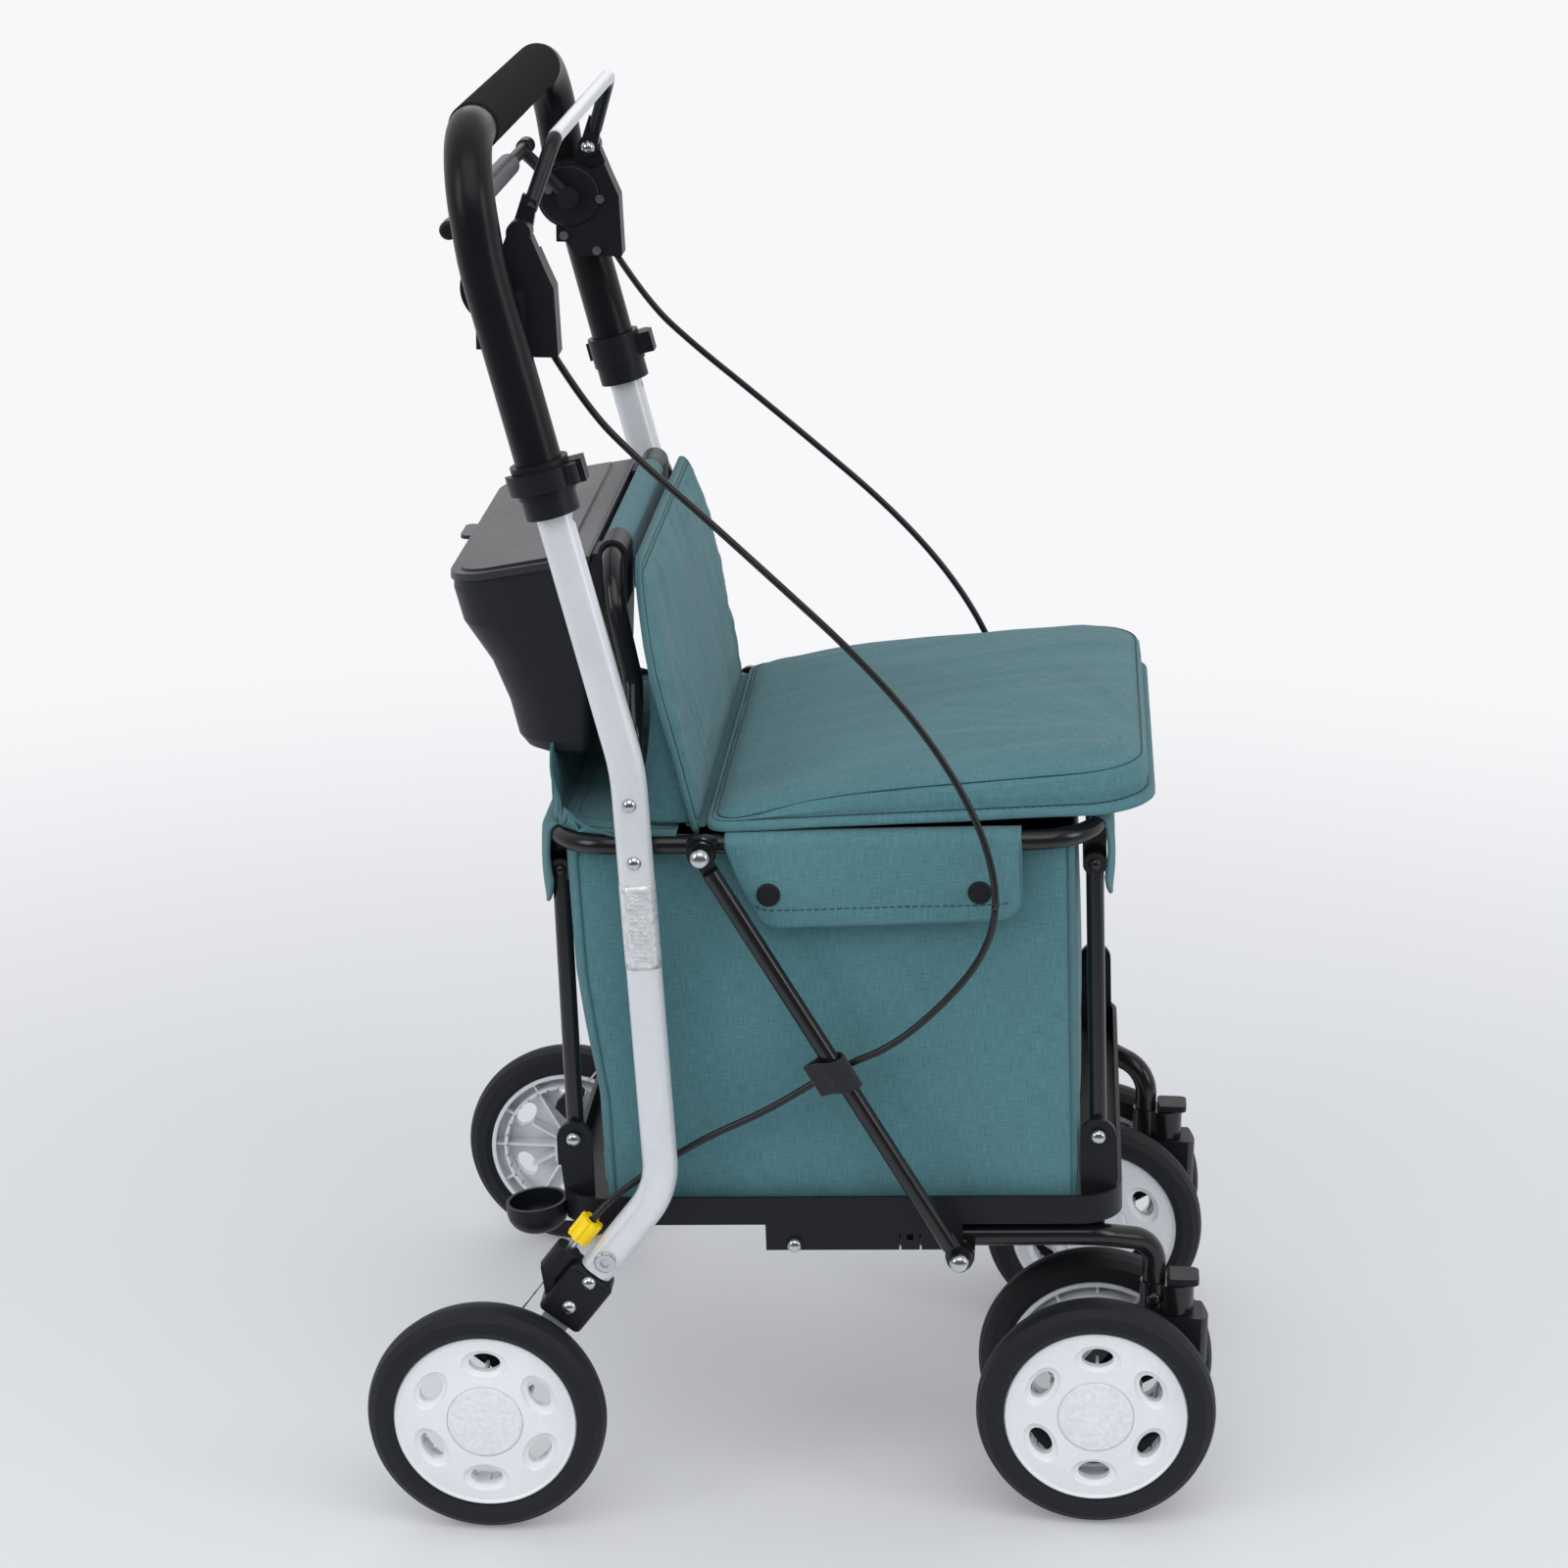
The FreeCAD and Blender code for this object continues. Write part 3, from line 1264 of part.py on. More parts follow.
def brake_housing(side):
    """Moulded brake housing: round ratchet case, body down to the cable exit, ear for the bail pivot."""
    y0, y1 = sorted((side * housing_inner, side * housing_outer))
    disc_x = at(housing_disc_out)
    outline = [
        (disc_x - housing_disc_radius * 0.2, housing_disc_height + housing_disc_radius * 0.2),
        (at(bail_pivot_out) - pivot_ear_radius * 0.9, bail_pivot_height),
        (at(bail_pivot_out) + pivot_ear_radius, bail_pivot_height - pivot_ear_radius * 0.3),
        (at(housing_front_out) - housing_disc_radius * 0.35, housing_disc_height + housing_disc_radius * 0.55),
        (at(housing_front_out) - housing_disc_radius * 0.1, housing_disc_height),
        (at(housing_front_out), housing_low),
        (at(housing_rear_low_out), housing_low),
        (at(housing_rear_low_out) - housing_disc_radius * 0.35, housing_low + housing_disc_radius * 0.5),
    ]
    body = slab(outline, y0, y1)
    rear_corner = [e for e in body.Edges if e.BoundBox.YLength > pivot_ear_radius
                   and abs(e.CenterOfMass.x - at(housing_rear_low_out)) < seat_gap
                   and e.CenterOfMass.z < housing_low + seat_gap]
    front_corner = [e for e in body.Edges if e.BoundBox.YLength > pivot_ear_radius
                    and abs(e.CenterOfMass.x - at(housing_front_out)) < seat_gap
                    and e.CenterOfMass.z < housing_low + seat_gap]
    body = body.makeFillet(housing_low_round, rear_corner).makeFillet(cover_dome * 0.5, front_corner)
    disc = cylinder(V(disc_x, y0, housing_disc_height), Y_AXIS, housing_disc_radius, y1 - y0)
    ear = cylinder(V(at(bail_pivot_out), y0, bail_pivot_height), Y_AXIS, pivot_ear_radius, y1 - y0)
    dome_face = side * housing_inner
    dome = cylinder(V(disc_x, dome_face, housing_disc_height), V(0, -side, 0), housing_disc_radius * 0.93, cover_dome)
    rim = max(dome.Edges, key=lambda e: -side * e.CenterOfMass.y)
    dome = dome.makeFillet(cover_dome * 0.8, [rim])
    mid_height = (housing_disc_height + housing_low) / 2
    saddle_low, saddle_high = sorted((side * (housing_outer - cut_over), side * leg_y))
    saddle = block(leg_x(mid_height) - handle_radius, leg_x(mid_height) + handle_radius, saddle_low, saddle_high,
                   housing_low + housing_disc_radius * 0.3, housing_disc_height)
    whole = fuse([body, disc, ear, dome, saddle])
    tube_hole = handle_outer(0, pin_gap)
    slot_low, slot_high = sorted((side * (housing_inner - cut_over), side * (housing_inner + bail_arm_thick + running_gap)))
    slot = cylinder(V(at(bail_pivot_out), slot_low, bail_pivot_height), Y_AXIS, pivot_ear_radius * 2,
                    slot_high - slot_low)
    keep_off = cylinder(V(disc_x, slot_low - cut_over, housing_disc_height), Y_AXIS, housing_disc_radius,
                        slot_high - slot_low + 2 * cut_over)
    exit_hole = cylinder(V(at(cable_exit_out), side * cable_side, housing_low - cut_over), Z_AXIS,
                         cable_radius + seat_gap * 2, cut_over + housing_disc_radius * 0.3)
    return whole.cut([tube_hole, slot.cut(keep_off), exit_hole] + housing_screws(side))


def housing_screws(side):
    """Four cover screws and the bail pivot bolt of one housing."""
    screws = []
    inward = V(0, -side, 0)
    for out, height in housing_screw_places:
        start = V(at(out), side * housing_inner, height)
        screws.append(cylinder(start, inward, housing_screw_radius, cover_dome * 1.3))
    pivot_start = V(at(bail_pivot_out), side * (housing_inner + bail_arm_thick + running_gap), bail_pivot_height)
    shank = cylinder(pivot_start, inward, bail_pin_radius, bail_arm_thick + 2 * running_gap)
    head = dome_rivet(V(at(bail_pivot_out), side * (housing_inner - running_gap), bail_pivot_height), inward,
                      rivet_radius, running_gap)
    screws.append(fuse([shank, head]))
    return screws


# Brake bail
bail_bar_out = 46.6
bail_bar_height = 944.6
bail_half_width = 152.0
bail_radius = 5.0
bail_corner = 18.0
bail_arm_thick = 6.0
bail_arm_wide = 13.0
bail_pin_radius = 3.0


def brake_bail():
    """Hand brake bail: silver bar across, black arms down to the pivots on both housings."""
    arm_y = housing_inner + bail_arm_thick / 2
    points = [
        V(at(bail_pivot_out) + bail_radius, -arm_y, bail_pivot_height + bail_arm_wide),
        V(at(bail_bar_out), -bail_half_width, bail_bar_height),
        V(at(bail_bar_out), bail_half_width, bail_bar_height),
        V(at(bail_pivot_out) + bail_radius, arm_y, bail_pivot_height + bail_arm_wide),
    ]
    bar = tube(points, [bail_corner, bail_corner], bail_radius)
    feet = []
    for side in SIDES:
        y0, y1 = sorted((side * housing_inner, side * (housing_inner + bail_arm_thick)))
        pivot_x = at(bail_pivot_out)
        half = bail_arm_wide / 2
        foot = slab([(pivot_x - half, bail_pivot_height), (pivot_x + half, bail_pivot_height - half * 0.3),
                     (pivot_x + bail_radius * 2, bail_pivot_height + bail_arm_wide + bail_radius),
                     (pivot_x + bail_radius * 0.2, bail_pivot_height + bail_arm_wide + bail_radius * 2)], y0, y1)
        boss = cylinder(V(pivot_x, y0, bail_pivot_height), Y_AXIS, half, y1 - y0)
        feet.extend([foot, boss])
    bail = fuse([bar] + feet)
    hole_start = V(at(bail_pivot_out), -leg_y, bail_pivot_height)
    return bail.cut(cylinder(hole_start, Y_AXIS, bail_pin_radius + seat_gap / 2, leg_spacing))


# Parking brake bar
park_bar_out = -17.5
park_bar_height = 889.5
park_radius = 4.5
park_grip_half = 90.0
park_grip_radius = 8.0
park_side = 160.0
park_corner = 14.0
park_boss_radius = 8.0
park_boss_thick = 10.0
park_knob_radius = 6.2
park_knob_start = 166.0
park_knob_end = 186.0


def parking_bar():
    """Parking brake bar behind the handle legs, with a flat grip in the middle and its arms on the discs."""
    face = housing_inner - cover_dome - running_gap
    arm_y = face - park_boss_thick / 2
    disc = V(at(housing_disc_out), 0, housing_disc_height)
    points = [
        V(disc.x, -arm_y, disc.z),
        V(at(park_bar_out), -park_side, park_bar_height),
        V(at(park_bar_out), park_side, park_bar_height),
        V(disc.x, arm_y, disc.z),
    ]
    bar = tube(points, [park_corner, park_corner], park_radius)
    grip = cylinder(V(at(park_bar_out), -park_grip_half, park_bar_height), Y_AXIS, park_grip_radius,
                    2 * park_grip_half)
    rims = [e for e in grip.Edges if e.Curve.TypeId == "Part::GeomCircle"]
    grip = grip.makeFillet(park_grip_radius * 0.3, rims)
    bosses = []
    for side in SIDES:
        bosses.append(cylinder(V(disc.x, side * face, disc.z), V(0, -side, 0), park_boss_radius, park_boss_thick))
        outward = V(0, side, 0)
        stub = cylinder(V(at(park_bar_out), side * (park_side - park_corner), park_bar_height), outward, park_radius,
                        park_knob_start - park_side + park_corner + park_radius)
        knob = cylinder(V(at(park_bar_out), side * park_knob_start, park_bar_height), outward, park_knob_radius,
                        park_knob_end - park_knob_start)
        knob = knob.makeFillet(park_knob_radius * 0.45, [e for e in knob.Edges if e.Curve.TypeId == "Part::GeomCircle"])
        bosses.extend([stub, knob])
    return fuse([bar, grip] + bosses)


# Posts, struts and their rivets
post_flat_radius = 8.0
post_rivet_radius = 4.5
strut_end_radius = 9.0
strap_width = 14.0
strap_share = 0.525
strap_thick = 1.5


def post(out, side):
    """Post between ring lug and tray ear, flattened at both ends, with its top rivet and bottom screw."""
    x = at(out)
    y = side * post_side
    r = post_diameter / 2
    bar = cylinder(V(x, y, post_bottom_height), Z_AXIS, r, post_top_height - post_bottom_height)
    half = r * 0.8
    ends = []
    for z in (post_top_height, post_bottom_height):
        ends.append(cylinder(V(x, y - half, z), Y_AXIS, post_flat_radius, 2 * half))
    solid = fuse([bar] + ends)
    lug_face = post_side - r - running_gap
    low, high = sorted((side * (lug_face - lug_plate), side * (post_side + half)))
    top_pin = cylinder(V(x, low, post_top_height), Y_AXIS, pivot_pin_radius, high - low)
    top_head = dome_rivet(V(x, side * (post_side + half), post_top_height), V(0, side, 0), post_rivet_radius,
                          post_rivet_radius)
    screw_face = side * (post_side + half)
    foot_pin = cylinder(V(x, screw_face, post_bottom_height), V(0, side, 0), pivot_pin_radius,
                        ear_gap + tray_ear_thick)
    foot_head = dome_rivet(V(x, screw_face + side * (ear_gap + tray_ear_thick), post_bottom_height),
                           V(0, side, 0), post_rivet_radius, post_rivet_radius)
    rivets = fuse([top_pin, top_head])
    screw = fuse([foot_pin, foot_head])
    return [lean(solid.cut(rivets).cut(screw)), lean(rivets), lean(screw)]


ear_gap = 1.7
tray_ear_thick = 5.0
tray_ear_radius = 12.0


def strut_flat_face(side):
    """Y of the inner face of the strut's flattened ends, just inside its tube."""
    return side * (strut_side - strut_diameter / 2 - seat_gap)


def strut_plate(side):
    """Lowest and highest Y of the lug plates that the struts lie against."""
    face = strut_flat_face(side) - side * running_gap
    return sorted((face, face - side * lug_plate))


def strut(side):
    """Diagonal strut, flattened at both ends, with its pivot rivets."""
    y = side * strut_side
    top = V(at(strut_top_out), y, strut_top_height)
    foot = V(at(strut_foot_out), y, strut_foot_height)
    bar = rod(top, foot, strut_diameter / 2)
    inner = strut_flat_face(side)
    head_y = inner + side * strut_flat
    outward = V(0, side, 0)
    along = (foot - top).normalize()
    ends = []
    for centre in (top, foot):
        ends.append(cylinder(V(centre.x, inner, centre.z), outward, strut_end_radius, strut_flat))
    trims = []
    for centre, direction in ((top, along), (foot, along * -1)):
        reach = strut_end_radius * 1.4
        across = along.cross(Y_AXIS) * (strut_end_radius * 1.3)
        start = centre - direction * strut_end_radius * 1.5
        stop = centre + direction * reach
        corners = [V(c.x, head_y, c.z) for c in (start + across, stop + across, stop - across, start - across)]
        face = Part.Face(Part.makePolygon(corners + corners[:1]))
        trims.append(face.extrude(V(0, side * strut_diameter, 0)))
    bar = bar.cut(trims)
    solid = fuse([bar] + ends)
    plate_inner = inner - side * (running_gap + lug_plate)
    top_pin = cylinder(V(top.x, plate_inner, top.z), outward, pivot_pin_radius,
                       lug_plate + running_gap + strut_flat)
    top_rivet = fuse([top_pin, dome_rivet(V(top.x, head_y, top.z), outward, rivet_radius, rivet_radius)])
    foot_rivet = dome_rivet(V(foot.x, head_y, foot.z), outward, rivet_radius, strut_flat)
    return [solid.cut(top_rivet).cut(foot_rivet), top_rivet, foot_rivet]


def cable_strap(side):
    """Hook-and-loop strap that ties the brake cable to the strut."""
    y = side * strut_side
    top = V(at(strut_top_out), y, strut_top_height)
    foot = V(at(strut_foot_out), y, strut_foot_height)
    along = (foot - top).normalize()
    centre = top + (foot - top) * strap_share
    start = centre - along * (strap_width / 2)
    r = strut_diameter / 2
    outer = cylinder(start, along, r + strap_thick, strap_width)
    inner = cylinder(start - along * cut_over, along, r, strap_width + 2 * cut_over)
    inward = V(0, -side, 0)
    loop_shift = inward * (r + cable_radius)
    loop = cylinder(start + loop_shift, along, cable_radius + 2 * strap_thick, strap_width)
    hole = cable_tube(side, cable_radius + running_gap)
    return fuse([outer, loop]).cut([inner, hole])


# Tray and lower frame
slot_long = 26.0
slot_wide = 7.0
slot_pitch_x = 36.0
slot_pitch_y = 15.0
slot_count_x = 9
slot_count_y = 21
cup_out = 15.8
cup_side = 169.0
cup_height = 215.0
cup_radius = 21.5
cup_wall = 2.5
cup_depth = 22.0
cup_bore_depth = 10.0
cup_tilt_deg = 4.6
cup_way_height = 26.0
side_plate_rear_out = 176.0
side_plate_front_out = 311.0
side_plate_drop = 19.0
side_plate_thick = 3.0
arm_tube_radius = 8.0
arm_rear_out = 196.0
arm_height_rear = 191.8
arm_side = 178.0
arm_bend_out = 398.0
socket_out = 455.0
arm_shoulder_height = 193.0
swivel_out = 470.0


def tray_ears():
    ears = []
    for out in (rear_post_out, front_post_out):
        for side in SIDES:
            face = side * (post_side + post_diameter / 2 * 0.8 + ear_gap)
            low, high = sorted((face, face + side * tray_ear_thick))
            r = tray_ear_radius
            ears.append(block(at(out) - r, at(out) + r, low, high, tray_bottom_height + tray_wall, post_bottom_height))
            ears.append(cylinder(V(at(out), low, post_bottom_height), Y_AXIS, r, high - low))
    return ears


def tray():
    """Moulded bottom tray: rounded pan with slotted floor, ears for the posts and clip plates at the sides."""
    x0, x1, w = at(tray_rear_out), at(tray_front_out), tray_half_width
    z0 = tray_bottom_height
    pan = plate_block(x0, x1, -w, w, z0, z0 + tray_side_height, tray_corner_radius)
    hollow = plate_block(x0 + tray_wall, x1 - tray_wall, -w + tray_wall, w - tray_wall, z0 + tray_wall,
                         z0 + tray_side_height + cut_over, tray_corner_radius - tray_wall)
    pan = pan.cut(hollow)
    slots = []
    mid_x = (x0 + x1) / 2
    for i in range(slot_count_x):
        for j in range(slot_count_y):
            x = mid_x + (i - (slot_count_x - 1) / 2) * slot_pitch_x
            y = (j - (slot_count_y - 1) / 2) * slot_pitch_y
            slots.append(block(x - slot_long / 2, x + slot_long / 2, y - slot_wide / 2, y + slot_wide / 2,
                               z0 - cut_over, z0 + tray_wall + cut_over))
    pan = pan.cut(slots)
    plates = []
    cuts = []
    for side in SIDES:
        low, high = sorted((side * (w - side_plate_thick), side * w))
        plates.append(block(at(side_plate_rear_out), at(side_plate_front_out), low, high,
                            z0 - side_plate_drop, z0 + tray_wall))
        notch_x = at(clip_rivet_out)
        cuts.append(cylinder(V(notch_x, low - cut_over, clip_rivet_height), Y_AXIS, clip_notch_radius,
                             side_plate_thick + 2 * cut_over))
        cuts.append(block(notch_x - clip_notch_radius * 0.8, notch_x + clip_notch_radius * 0.8, low - cut_over,
                          high + cut_over, z0 - side_plate_drop - cut_over, clip_rivet_height))
        finger_x = at(clip_finger_out)
        for edge in (-1, 1):
            x = finger_x + edge * clip_finger_half
            cuts.append(block(x - seat_gap * 2, x + seat_gap * 2, low - cut_over, high + cut_over,
                              z0 - side_plate_drop - cut_over, z0 - clip_finger_half))
        cuts.append(block(finger_x - clip_hole / 2, finger_x + clip_hole / 2, low - cut_over, high + cut_over,
                          z0 - side_plate_drop / 2 - clip_hole / 2, z0 - side_plate_drop / 2 + clip_hole / 2))
    for out in (rear_post_out, front_post_out):
        cuts.append(cylinder(V(at(out), -w * 2, post_bottom_height), Y_AXIS, pivot_pin_radius + seat_gap, w * 4))
    cup_cut = cup_tip(cylinder(V(at(cup_out), -cup_side, cup_height - cup_depth), Z_AXIS, cup_radius + seat_gap,
                               cup_depth + cup_way_height))
    return lean(fuse([pan] + tray_ears() + plates).cut(cuts + [cup_cut]))


clip_rivet_out = 195.7
clip_rivet_height = 190.0
clip_notch_radius = 4.2
clip_finger_out = 275.0
clip_finger_half = 7.0
clip_hole = 4.5


def cup_tip(shape):
    """Tips the umbrella cup to the rear, so that an umbrella clears the ring and the handle."""
    tipped = shape.copy()
    tipped.rotate(V(at(cup_out), -cup_side, cup_height), Y_AXIS, -cup_tilt_deg)
    return tipped


def umbrella_cup():
    """Open bowl at the rear right corner of the tray that takes the tip of an umbrella or cane."""
    centre = V(at(cup_out), -cup_side, cup_height)
    bowl = cylinder(V(centre.x, centre.y, cup_height - cup_depth), Z_AXIS, cup_radius, cup_depth)
    bottom = min(bowl.Edges, key=lambda e: e.CenterOfMass.z)
    bowl = bowl.makeFillet(cup_radius * 0.7, [bottom])
    inner_r = cup_radius - cup_wall
    well = cylinder(V(centre.x, centre.y, cup_height - cup_depth + cup_wall), Z_AXIS, inner_r, cup_depth)
    low_edge = min(well.Edges, key=lambda e: e.CenterOfMass.z)
    well = well.makeFillet(cup_depth - cup_wall - cup_bore_depth, [low_edge])
    return lean(cup_tip(bowl.cut(well)))


head_radius = 13.0
head_top = 163.0
head_low = 141.5
socket_radius = 9.4
tab_plate = 3.0
tab_radius = 10.0
stay_wide = 9.0
stay_out = 403.0


def frame_arm_points(side):
    """Route of one side of the lower frame tube, from the cross tube to its caster socket."""
    rear = lean_point(V(at(arm_rear_out), side * arm_side, arm_height_rear))
    bend = lean_point(V(at(arm_bend_out), side * arm_side, arm_height_rear))
    return [
        rear,
        bend,
        V(at(socket_out), side * caster_y, arm_shoulder_height),
        V(at(socket_out), side * caster_y, head_low + tab_plate),
    ]


def lower_frame():
    """Bent tube under the tray that carries both casters, with strut tabs, stays, clip rivets and caster heads."""
    right = frame_arm_points(RIGHT)
    left = frame_arm_points(LEFT)
    points = right[::-1] + left
    radii = [arm_tube_radius * 3, arm_tube_radius * 6, arm_tube_radius * 3, arm_tube_radius * 3,
             arm_tube_radius * 6, arm_tube_radius * 3]
    parts = [tube(points, radii, arm_tube_radius)]
    loose = []
    for side in SIDES:
        plate_face = strut_flat_face(side) - side * running_gap
        low, high = strut_plate(side)
        x = at(strut_foot_out)
        z = strut_foot_height
        parts.append(cylinder(V(x, low, z), Y_AXIS, tab_radius, high - low))
        web = sorted((side * arm_side, plate_face))
        parts.append(block(x + tab_radius * 0.4, x + tab_radius, web[0], web[1], z - tab_plate / 2, z + tab_plate / 2))
        bend = lean_point(V(at(stay_out), side * arm_side, arm_height_rear))
        tray_low = lean_point(V(at(stay_out), 0, tray_bottom_height)).z
        stay_y = side * (arm_side - arm_tube_radius)
        parts.append(block(bend.x - stay_wide / 2, bend.x + stay_wide / 2, min(stay_y, stay_y + side * tab_plate),
                           max(stay_y, stay_y + side * tab_plate), bend.z - arm_tube_radius / 2, tray_low - seat_gap))
        rivet_point = V(at(clip_rivet_out), side * (tray_half_width + seat_gap), clip_rivet_height)
        boss = cylinder(V(at(clip_rivet_out), side * arm_side, clip_rivet_height), V(0, side, 0),
                        clip_notch_radius - seat_gap, tray_half_width + seat_gap - arm_side)
        parts.append(lean(boss))
        loose.append(lean(dome_rivet(rivet_point, V(0, side, 0), rivet_radius, seat_gap)))
    frame = fuse(parts)
    heads = []
    for side in SIDES:
        socket_start = V(at(socket_out), side * caster_y, head_low)
        head_start = V(at(swivel_out), side * caster_y, head_low)
        bore = cylinder(socket_start + V(0, 0, tab_plate), Z_AXIS, arm_tube_radius, head_top)
        head = fuse([cylinder(socket_start, Z_AXIS, socket_radius, head_top - head_low),
                     cylinder(head_start, Z_AXIS, head_radius, head_top - head_low)]).cut(bore)
        king = cylinder(head_start - V(0, 0, cut_over), Z_AXIS, king_radius + seat_gap,
                        head_top - head_low + 2 * cut_over)
        heads.append(head.cut(king))
        face = V(at(socket_out), side * (caster_y + socket_radius), (head_low + head_top) / 2)
        loose.append(dome_rivet(face, V(0, side, 0), rivet_radius, rivet_radius * 0.2))
    return group([frame] + heads + loose)


# Caster forks and swivel locks
king_radius = 4.0
fork_half = 15.0
fork_top_radius = 23.5
fork_wall = 4.0
fork_axle_boss = 13.0
fork_front_low = 100.0
fork_neck = 120.0
lock_length = 22.0
lock_half = 11.0
lock_thick = 5.0
lock_gap = 0.4


def caster_fork(side):
    """Swivelling fork between the twin wheels, with kingpin and axle."""
    y = side * caster_y
    x = at(swivel_out)
    z = wheel_radius
    top = head_low - running_gap
    fx = front_axle_x
    front = x + fork_top_radius
    outline = [
        (fx - fork_axle_boss * 0.6, z + fork_axle_boss * 0.8),
        (x - fork_top_radius * 0.9, top),
        (front - fork_wall, top),
        (front, top - fork_wall),
        (front + 0, fork_front_low + fork_wall),
        (front - fork_wall * 1.5, fork_front_low),
        (x - fork_top_radius * 0.2, fork_front_low),
        (fx + fork_axle_boss, z - fork_axle_boss * 0.3),
        (fx, z - fork_axle_boss),
    ]
    body = slab(outline, y - fork_half, y + fork_half)
    boss = cylinder(V(fx, y - fork_half, z), Y_AXIS, fork_axle_boss, 2 * fork_half)
    round_top = cylinder(V(x, y, fork_front_low), Z_AXIS, fork_top_radius, top - fork_front_low)
    rear_keep = block(fx - fork_axle_boss * 2, x, y - fork_half, y + fork_half, 0, top)
    body = body.common(rear_keep).fuse(body.common(round_top)).fuse(boss).removeSplitter()
    king = cylinder(V(x, y, top - fork_wall), Z_AXIS, king_radius, head_top - top + fork_wall)
    body = body.fuse(king).removeSplitter()
    reach = twin_spacing / 2 + hub_face - reflector_thick - running_gap
    axle = cylinder(V(fx, y - reach, z), Y_AXIS, axle_radius, 2 * reach)
    return group([body.cut(axle), axle])


def lock_lever(side):
    """Small flap on the caster head that locks the swivel straight ahead."""
    y = side * caster_y
    x0 = at(socket_out) + arm_tube_radius + running_gap * 2
    z0 = head_top + lock_gap
    paddle = block(x0, x0 + lock_length, y - lock_half, y + lock_half, z0, z0 + lock_thick)
    ends = [e for e in paddle.Edges if e.BoundBox.ZLength > lock_thick / 2 and e.CenterOfMass.x > x0 + lock_half]
    paddle = paddle.makeFillet(lock_thick, ends)
    heel = [e for e in paddle.Edges if e.BoundBox.YLength > lock_half and e.CenterOfMass.x < x0 + seat_gap]
    return paddle.makeFillet(lock_thick * 0.48, heel)


# Brake cables
cable_lead = 16.0
arc_share = 0.45
cable_route = (
    (70.5, -3, 775.5), (102.4, -7, 745), (147, -13, 708), (196, -20, 666), (243, -26, 625), (283, -30, 583),
    (313, -34, 541), (333, -36, 500), (342, -36, 457), (333, -33, 420), (308, -29, 385), (273, -25, 350.5),
)
cable_tail = ((190, -18, 299), (146, -15, 276), (106, -14.4, 248))


def cable_points(side):
    """Route of one brake cable, from its housing over the seat and through the strap to the adjuster."""
    exit_point = V(at(cable_exit_out), side * cable_side, housing_low)
    points = [exit_point]
    for out, sideways, height in cable_route:
        points.append(V(at(out), side * (cable_side - sideways), height))
    top = V(at(strut_top_out), 0, strut_top_height)
    foot = V(at(strut_foot_out), 0, strut_foot_height)
    centre = top + (foot - top) * strap_share
    strap_y = side * (strut_side - strut_diameter / 2 - cable_radius)
    points.append(V(centre.x, strap_y, centre.z))
    for out, sideways, height in cable_tail:
        points.append(V(at(out), side * (cable_side - sideways), height))
    end = arm_point(nut_start + nut_length, lug_offset, side * leg_y)
    points.append(end + arm_direction * cable_lead)
    points.append(end)
    return points


def cable_wire(side):
    """Centre line of one brake cable: straight runs and tangent arcs as large as the runs allow."""
    points = cable_points(side)
    radii = []
    for i in range(1, len(points) - 1):
        before = points[i] - points[i - 1]
        after = points[i + 1] - points[i]
        turn = before.getAngle(after)
        radii.append(arc_share * min(before.Length, after.Length) / math.tan(turn / 2))
    print("cable", SIDE_NAMES[side], "radii", [round(r) for r in radii])
    return path(points, radii)


def cable_tube(side, radius):
    points = cable_points(side)
    return swept(cable_wire(side), circle_at(points[0], points[1] - points[0], radius))


def brake_cable(side):
    """Outer casing of one brake cable."""
    solid = cable_tube(side, cable_radius)
    length = cable_wire(side).Length
    print("length", round(length), "volume share", round(solid.Volume / (math.pi * cable_radius ** 2 * length), 4))
    return solid


def build():
    nodes = {}
    for side in SIDES:
        name = SIDE_NAMES[side]
        nodes["leg_" + name] = leg(side)
        nodes["brake_lever_" + name] = brake_lever(side)
        nodes["adjuster_nut_" + name] = adjuster_nut(side)
        nodes["brake_cable_" + name] = brake_cable(side)
        nodes["collar_lever_" + name] = clamp_lever(side)
        nodes["caster_fork_" + name] = caster_fork(side)
        nodes["lock_lever_" + name] = lock_lever(side)
    nodes["leg_rivets"] = group([r for side in SIDES for r in leg_rivet_pair(side) + bracket_pins(side)])
    nodes["axle_brackets"] = group(both_sides(axle_bracket))
    nodes["axle_arms"] = group(both_sides(axle_arm))
    nodes["brake_wires"] = group(both_sides(brake_wire) + both_sides(adjuster_stud) + both_sides(lever_pin))
    nodes["seat_ring"] = seat_ring()
    nodes["backrest_frame"] = backrest_frame()
    nodes["backrest_pad"] = backrest_pad()
    nodes["seat_rear_cover"] = seat_rear_cover()
    nodes["bag_flaps"] = bag_flaps()
    nodes["press_studs"] = press_studs()
    nodes["bag"] = bag()
    nodes["seat_cushion"] = seat_cushion()
    nodes["storage_box"] = storage_box()
    nodes["box_lid"] = box_lid()
    nodes["handle_tube"] = handle_tube()
    nodes["foam_grip"] = foam_grip()
    nodes["height_collars"] = group(both_sides(height_collar))
    nodes["brake_housings"] = group(both_sides(brake_housing))
    nodes["housing_screws"] = group([s for side in SIDES for s in housing_screws(side)])
    nodes["brake_bail"] = brake_bail()
    nodes["parking_bar"] = parking_bar()
    nodes["rear_posts"] = group([s for side in SIDES for s in post(rear_post_out, side)])
    nodes["front_posts"] = group([s for side in SIDES for s in post(front_post_out, side)])
    nodes["struts"] = group([s for side in SIDES for s in strut(side)])
    nodes["cable_straps"] = group(both_sides(cable_strap))
    nodes["tray"] = tray()
    nodes["umbrella_cup"] = umbrella_cup()
    nodes["lower_frame"] = lower_frame()
    nodes.update(wheel_nodes())
    return nodes


